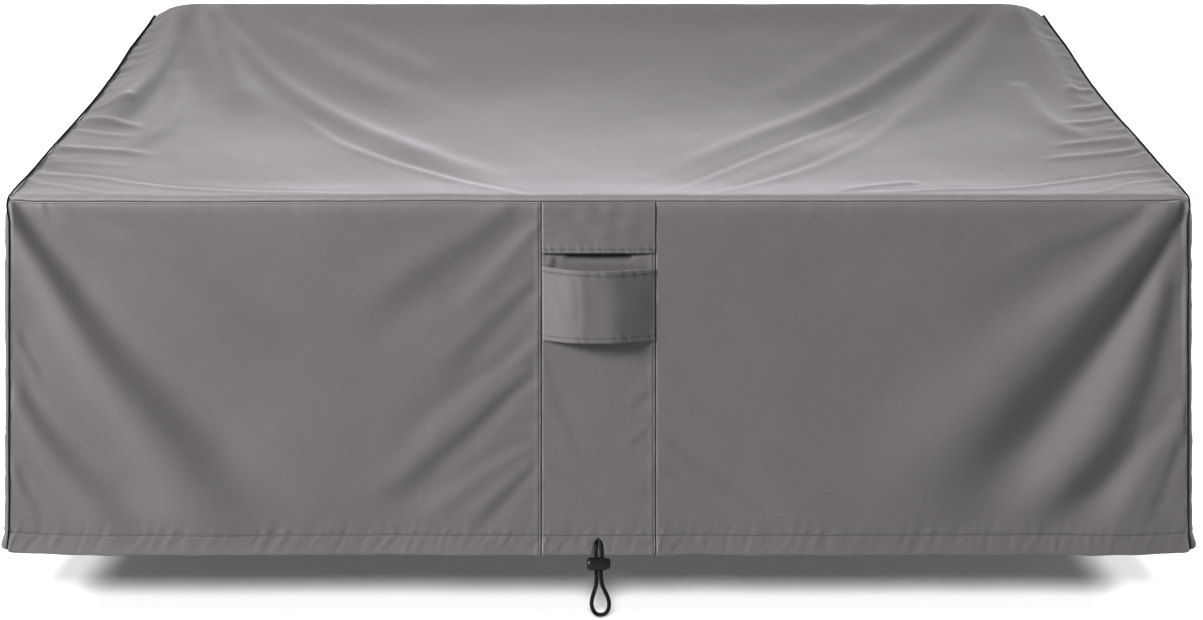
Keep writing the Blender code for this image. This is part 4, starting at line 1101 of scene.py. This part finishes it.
def cut_slot(solid, start, end):
    """Cut the cord's oblong hole down through a turned piece, between two places across it."""
    turn = np.radians(np.linspace(-90.0, 90.0, 13))
    middle = LOCK_DEPTH - FRONT_LEAN
    right = SLOT_HALF_WIDTH * np.column_stack((np.cos(turn), np.sin(turn))) + (end - SLOT_HALF_WIDTH, middle)
    left = right[::-1] * (-1.0, 1.0) + (start + end, 0.0)
    outline = np.concatenate((right, left))
    count = len(outline)
    low, high = (np.column_stack((outline, np.full(count, LOCK_HEIGHT + off))) for off in (-0.02, 0.02))
    first = np.arange(count)
    after = np.roll(first, -1)
    sides = np.stack((first, after, after + count, first + count), axis=-1)
    faces = [first[::-1].tolist(), (first + count).tolist(), *sides.tolist()]
    points = np.concatenate((low, high))
    tool = add_mesh("slot_tool", points, faces, solid.data.materials[0], np.zeros((2 * count, 2)))
    opening = solid.modifiers.new("slot", "BOOLEAN")
    opening.operation = "DIFFERENCE"
    opening.solver = "EXACT"
    opening.object = tool
    result = bpy.data.meshes.new_from_object(solid.evaluated_get(bpy.context.evaluated_depsgraph_get()))
    solid.modifiers.clear()
    solid.data = result
    bpy.data.objects.remove(tool)
    result.shade_smooth()
    result.set_sharp_from_angle(angle=math.radians(32.0))


def add_cord_lock(material):
    """The barrel, open at its right end, and the button in it, both with the cord's hole through them."""
    bore = BARREL_RADIUS - BARREL_WALL
    floor = BARREL_START + BARREL_FLOOR
    shell = lock_end(BARREL_START, -1.0, BARREL_RADIUS, BARREL_ROUND)
    shell += [(BARREL_END - 0.0008, BARREL_RADIUS), (BARREL_END - 0.0002, BARREL_RADIUS - 0.0003)]
    shell += [(BARREL_END, BARREL_RADIUS - 0.0008), (BARREL_END, bore + 0.0003), (BARREL_END - 0.0004, bore)]
    shell += [(floor, bore), (floor, 0.0)]
    barrel = add_turned("lock_barrel", shell, material)
    cut_slot(barrel, -SLOT_HALF_LENGTH, SLOT_HALF_LENGTH)
    nose = lock_end(BUTTON_END, 1.0, BUTTON_RADIUS, BUTTON_ROUND)
    foot = [(BUTTON_START, 0.0), (BUTTON_START, BUTTON_RADIUS - 0.0004)]
    foot += [(BUTTON_START + 0.0004, BUTTON_RADIUS)]
    button = add_turned("lock_push_button", foot + nose[::-1], material)
    cut_slot(button, -SLOT_HALF_LENGTH, SLOT_HALF_LENGTH + BUTTON_TRAVEL)
    return barrel, button


# ---------------------------------------------------------------- finishes
def add_node(tree, kind, links=(), **settings):
    """Add a shader node. settings are its own choices, and links pairs an input with a value or an
    output.
    """
    made = tree.nodes.new(kind)
    for name, value in settings.items():
        setattr(made, name, value)
    for socket, value in dict(links).items():
        if isinstance(value, bpy.types.NodeSocket):
            tree.links.new(value, made.inputs[socket])
        else:
            made.inputs[socket].default_value = value
    return made


def calc(tree, operation, *values):
    """A Math node's result."""
    return add_node(tree, "ShaderNodeMath", enumerate(values), operation=operation).outputs[0]


def spread(tree, value, low, high, to_low, to_high):
    """A Map Range node's result: low and high become to_low and to_high."""
    return add_node(tree, "ShaderNodeMapRange", enumerate((value, low, high, to_low, to_high))).outputs[0]


def mottle(tree, place, scale, detail=2.0, stretch=(1.0, 1.0, 1.0)):
    """Noise from 0 to 1 over a place, stretched by three factors."""
    turned = add_node(tree, "ShaderNodeMapping", {"Vector": place, "Scale": stretch})
    links = {"Vector": turned.outputs[0], "Scale": scale, "Detail": detail, "Roughness": 0.55}
    return add_node(tree, "ShaderNodeTexNoise", links).outputs["Fac"]


def new_effect(name):
    """A shader node group for a woven surface, its place, the counts of threads across and along, and its
    output. Its sockets are the place on the cloth and the pitch of the threads, both in metres, and a
    height and a tone.
    """
    tree = bpy.data.node_groups.new(name, "ShaderNodeTree")
    for socket, way, kind in (("Place", "INPUT", "Vector"), ("Pitch", "INPUT", "Float"),
                              ("Height", "OUTPUT", "Float"), ("Tone", "OUTPUT", "Float")):
        tree.interface.new_socket(socket, in_out=way, socket_type=f"NodeSocket{kind}")
    given, out = tree.nodes.new("NodeGroupInput"), tree.nodes.new("NodeGroupOutput")
    parts = add_node(tree, "ShaderNodeSeparateXYZ", {0: given.outputs["Place"]})
    across, along = (calc(tree, "DIVIDE", parts.outputs[i], given.outputs["Pitch"]) for i in range(2))
    return tree, given.outputs["Place"], across, along, out


def plain_weave():
    """Plain weave: over and under by turns, every thread a rounded rib, with thicker runs along single
    threads.
    """
    tree, place, across, along, out = new_effect("plain_weave")
    warp, weft = (calc(tree, "SINE", calc(tree, "MULTIPLY", count, math.pi)) for count in (across, along))
    over = calc(tree, "GREATER_THAN", calc(tree, "MULTIPLY", warp, weft), 0.0)
    warp_rib, weft_rib = calc(tree, "ABSOLUTE", warp), calc(tree, "ABSOLUTE", weft)
    warp_top = calc(tree, "MULTIPLY", warp_rib, calc(tree, "SQRT", weft_rib))
    weft_top = calc(tree, "MULTIPLY", weft_rib, calc(tree, "SQRT", warp_rib))
    ribs = add_node(tree, "ShaderNodeMix", {"Factor": over, 2: weft_top, 3: warp_top})
    warp_run = mottle(tree, place, 700.0, stretch=(1.0, 0.035, 1.0))
    weft_run = mottle(tree, place, 700.0, stretch=(0.035, 1.0, 1.0))
    runs = add_node(tree, "ShaderNodeMix", {"Factor": over, 2: weft_run, 3: warp_run})
    tone = calc(tree, "MULTIPLY_ADD", runs.outputs[0], 0.75, calc(tree, "MULTIPLY", ribs.outputs[0], 0.25))
    tree.links.new(ribs.outputs[0], out.inputs["Height"])
    tree.links.new(tone, out.inputs["Tone"])
    return tree


def cord_braid():
    """Braid round a cord: two sets of strands that cross on a slant. The place is round the cord and
    along it.
    """
    tree, place, around, along, out = new_effect("cord_braid")
    right, left = (
        calc(tree, "SINE", calc(tree, "MULTIPLY", calc(tree, slant, around, along), math.pi))
        for slant in ("ADD", "SUBTRACT")
    )
    height = calc(tree, "SQRT", calc(tree, "ABSOLUTE", calc(tree, "MULTIPLY", right, left)))
    fuzz = calc(tree, "MULTIPLY", mottle(tree, place, 2200.0), 0.4)
    tree.links.new(height, out.inputs["Height"])
    tree.links.new(calc(tree, "MULTIPLY_ADD", height, 0.6, fuzz), out.inputs["Tone"])
    return tree


def new_finish(name):
    """A new material, its tree, its shader, and each point's place in the frame."""
    material = bpy.data.materials.new(name)
    material.use_nodes = True
    tree = material.node_tree
    spots = add_node(tree, "ShaderNodeTexCoord").outputs["Object"]
    return material, tree, tree.nodes["Principled BSDF"], spots


def dress_shader(tree, shader, colour, shade, rough, strength, distance, height):
    """Set a shader's colour, dimmed by a shade, its roughness, and its bump from a height."""
    tint = add_node(tree, "ShaderNodeVectorMath", {0: colour, "Scale": shade}, operation="SCALE")
    raised = add_node(tree, "ShaderNodeBump", {"Strength": strength, "Distance": distance, "Height": height})
    tree.links.new(tint.outputs[0], shader.inputs["Base Color"])
    tree.links.new(rough, shader.inputs["Roughness"])
    tree.links.new(raised.outputs[0], shader.inputs["Normal"])


def cloth_finish(name, effect, colour, pitch, contrast, bump, roughness, sheen, shine):
    """A woven finish: the threads' tone over faint wide mottling, a soft sheen and a fine bump."""
    material, tree, shader, spots = new_finish(name)
    place = add_node(tree, "ShaderNodeUVMap", uv_map="cloth").outputs[0]
    weave = add_node(tree, "ShaderNodeGroup", node_tree=effect)
    tree.links.new(place, weave.inputs["Place"])
    weave.inputs["Pitch"].default_value = pitch
    wide = mottle(tree, spots, 5.5, 4.0)
    dust = mottle(tree, spots, 160.0, 3.0)
    tone = calc(tree, "MULTIPLY_ADD", weave.outputs["Tone"], 0.62, calc(tree, "MULTIPLY", wide, 0.22))
    tone = calc(tree, "MULTIPLY_ADD", dust, 0.16, tone)
    ramp = spread(tree, tone, 0.25, 0.75, 1.0 - contrast, 1.0 + contrast)
    # painted shade and painted highlight, read from each piece's attribute, darken or lighten the cloth's
    # colour
    painted_shading = add_node(tree, "ShaderNodeAttribute", attribute_name="painted_shading").outputs["Fac"]
    shade = calc(tree, "MULTIPLY", ramp, calc(tree, "MULTIPLY_ADD", painted_shading, -SEAM_SHADE, 1.0))
    rough = spread(tree, tone, 0.25, 0.75, roughness + 0.05, roughness - 0.05)
    dress_shader(tree, shader, colour, shade, rough, bump, 0.0002, weave.outputs["Height"])
    shader.inputs["Sheen Weight"].default_value = sheen
    shader.inputs["Sheen Roughness"].default_value = 0.45
    shader.inputs["Sheen Tint"].default_value = (0.95, 0.92, 1.0, 1.0)
    shader.inputs["Specular IOR Level"].default_value = shine
    return material


def moulded_finish(name, colour, roughness):
    """Moulded plastic: satin, with a fine spark-eroded grain and faint rubbed patches."""
    material, tree, shader, spots = new_finish(name)
    rubbed = mottle(tree, spots, 180.0, 3.0)
    grain = mottle(tree, spots, 2600.0, 1.0)
    shade = spread(tree, rubbed, 0.3, 0.7, 0.85, 1.35)
    rough = spread(tree, rubbed, 0.3, 0.7, roughness - 0.05, roughness + 0.07)
    dress_shader(tree, shader, colour, shade, rough, 0.25, 0.0001, grain)
    return material


# ---------------------------------------------------------------- camera, floor and light
def add_camera():
    """The camera in front of the cover, a little above it, with its picture shifted down."""
    lens_data = bpy.data.cameras.new("camera")
    lens_data.lens = 48.9
    lens_data.sensor_width = 36.0
    lens_data.sensor_fit = "HORIZONTAL"
    lens_data.shift_y = -0.102
    lens_data.clip_end = 60.0
    camera = bpy.data.objects.new("camera", lens_data)
    camera.location = (0.005, -3.189, 0.4315)
    camera.rotation_euler = (math.radians(80.0), 0.0, 0.0)
    bpy.context.scene.collection.objects.link(camera)
    bpy.context.scene.camera = camera


def add_floor():
    """A plain pale floor that curves up into a plain backdrop far behind the object. It glows faintly."""
    level, curved = 0.45, 0.70  # shares of its length where the level part and the curve end
    run = np.linspace(0.0, 1.0, 33)[:, None]
    turn = np.clip((run - level) / (curved - level), 0.0, 1.0) * math.pi / 2.0
    depth = FLOOR_NEAR + (FLOOR_FAR - FLOOR_NEAR) * np.clip(run / level, 0.0, 1.0) + WALL_CURVE * np.sin(turn)
    wall = WALL_HEIGHT * np.clip((run - curved) / (1.0 - curved), 0.0, 1.0)
    height = WALL_CURVE * (1.0 - np.cos(turn)) + wall
    across = np.linspace(-FLOOR_HALF, FLOOR_HALF, 3)[None, :]
    grid = np.stack(np.broadcast_arrays(across, depth, height + FLOOR_HEIGHT), axis=-1)
    material = bpy.data.materials.new("pale_floor")
    material.use_nodes = True
    tree = material.node_tree
    shader = tree.nodes["Principled BSDF"]
    seen = add_node(tree, "ShaderNodeLightPath").outputs["Is Camera Ray"]
    tree.links.new(spread(tree, seen, 0.0, 1.0, FLOOR_BOUNCE, FLOOR_TONE), shader.inputs["Base Color"])
    shader.inputs["Emission Color"].default_value = (*WHITE, 1.0)
    shader.inputs["Emission Strength"].default_value = FLOOR_GLOW
    shader.inputs["Roughness"].default_value = 0.90
    shader.inputs["Specular IOR Level"].default_value = 0.1
    faces = grid_cells(len(run), 3).tolist()
    return add_mesh("floor", grid.reshape(-1, 3), faces, material, np.zeros((grid[..., 0].size, 2)))


def lit_pieces(name, pieces):
    """A collection of pieces for a light to reach."""
    made = bpy.data.collections.new(name)
    for piece in pieces:
        made.objects.link(piece)
    return made


def add_lamp(name, kind, power, lit):
    """A light for everything, or for the pieces of one collection alone."""
    data = bpy.data.lights.new(name, kind)
    data.energy = power
    lamp = bpy.data.objects.new(name, data)
    if lit is not None:
        lamp.light_linking.receiver_collection = lit
    bpy.context.scene.collection.objects.link(lamp)
    return lamp


def add_softbox(name, place, aim, size, power, colour, lit):
    """A square area light that faces a point."""
    lamp = add_lamp(name, "AREA", power, lit)
    lamp.data.shape = "SQUARE"
    lamp.data.size = size
    lamp.data.color = colour
    lamp.visible_camera = False
    lamp.location = place
    way = np.array(aim) - np.array(place)
    flat = math.hypot(way[0], way[1])
    lamp.rotation_euler = (math.atan2(flat, -way[2]), 0.0, math.atan2(-way[0], way[1]))


def add_floor_light(name, slope, turn, power, lit):
    """A wide even light for the floor alone, so that it stays pale and the cover keeps its shading."""
    lamp = add_lamp(name, "SUN", power, lit)
    lamp.data.angle = math.radians(FLOOR_LIGHT_SPREAD)
    lamp.rotation_euler = (math.radians(slope), 0.0, math.radians(turn))


# ---------------------------------------------------------------- the finishes and the camera
weave = plain_weave()
braid = cord_braid()
# name, effect, colour, thread pitch, contrast, bump, roughness, sheen, shine
cover_cloth = cloth_finish("grey_woven_cloth", weave, GREY_CLOTH, THREAD_PITCH, 0.20, 0.40, 0.58, 0.50, 0.35)
sewing_thread = cloth_finish("grey_sewing_thread", weave, GREY_THREAD, 0.0004, 0.12, 0.20, 0.60, 0.20, 0.35)
black_piping = cloth_finish("black_piping_cloth", weave, BLACK_CLOTH, 0.0005, 0.25, 0.35, 0.66, 0.02, 0.12)
black_cord = cloth_finish("black_braided_cord", braid, BLACK_CORD, 0.0011, 0.40, 0.60, 0.62, 0.03, 0.20)
black_plastic = moulded_finish("black_moulded_plastic", BLACK_PLASTIC, 0.34)
add_camera()

# ---------------------------------------------------------------- the cord and its lock
_, route = smooth_line(np.array(CORD_ROUTE) + (0.0, -FRONT_LEAN, 0.0), 260)
drawcord = add_tube("braided_drawcord", route, CORD_RADIUS, 22, (0.0, 1.0, 0.0), black_cord)
barrel, button = add_cord_lock(black_plastic)
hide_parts("drawcord")
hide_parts("cord_lock")
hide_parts("lock_button")
for piece in (drawcord, barrel):
    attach(piece, "cover")
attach(button, "button")

# ---------------------------------------------------------------- the cover
sewn = (
    (add_front_panel("front_left_cloth", -HALF_WIDTH, -STRIP_HALF, True, cover_cloth), "front_left_panel"),
    (add_front_panel("front_centre_cloth", -STRIP_HALF, STRIP_HALF, True, cover_cloth), "front_centre_panel"),
    (add_front_panel("front_right_cloth", STRIP_HALF, HALF_WIDTH, False, cover_cloth), "front_right_panel"),
    (add_top(cover_cloth), "top_panel"),
    (add_back(cover_cloth), "back_panel"),
    (add_end("left_end_cloth", -1, cover_cloth), "side_panel_left"),
    (add_end("right_end_cloth", 1, cover_cloth), "side_panel_right"),
    (add_vent_flap(cover_cloth), "vent_flap"),
    (add_handle_strap(cover_cloth), "handle_strap"),
)
shown = [drawcord, barrel, button]
for (piece, lines), node in sewn:
    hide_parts(node)
    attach(piece, "cover")
    thread = add_stitches(f"stitches_{node}", lines, sewing_thread)
    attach(thread, "cover")
    shown += [piece, thread]
for side, word in ((-1, "left"), (1, "right")):
    piping = add_piping(f"black_piping_{word}", side, black_piping)
    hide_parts(f"piping_{word}")
    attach(piping, "cover")
    shown.append(piping)

# ---------------------------------------------------------------- the floor, the light and the end
floor = add_floor()
lit_cover = lit_pieces("lit_cover", shown)
lit_floor = lit_pieces("lit_floor", [floor])
for *softbox, cover_alone in SOFTBOXES:
    add_softbox(*softbox, lit_cover if cover_alone else None)
for floor_light in FLOOR_LIGHTS:
    add_floor_light(*floor_light, lit_floor)
world = bpy.data.worlds.new("soft_studio")
world.use_nodes = True
world.node_tree.nodes["Background"].inputs[0].default_value = (*WHITE, 1.0)
world.node_tree.nodes["Background"].inputs[1].default_value = WORLD_LIGHT
bpy.context.scene.world = world
bpy.context.scene.view_settings.view_transform = "Standard"
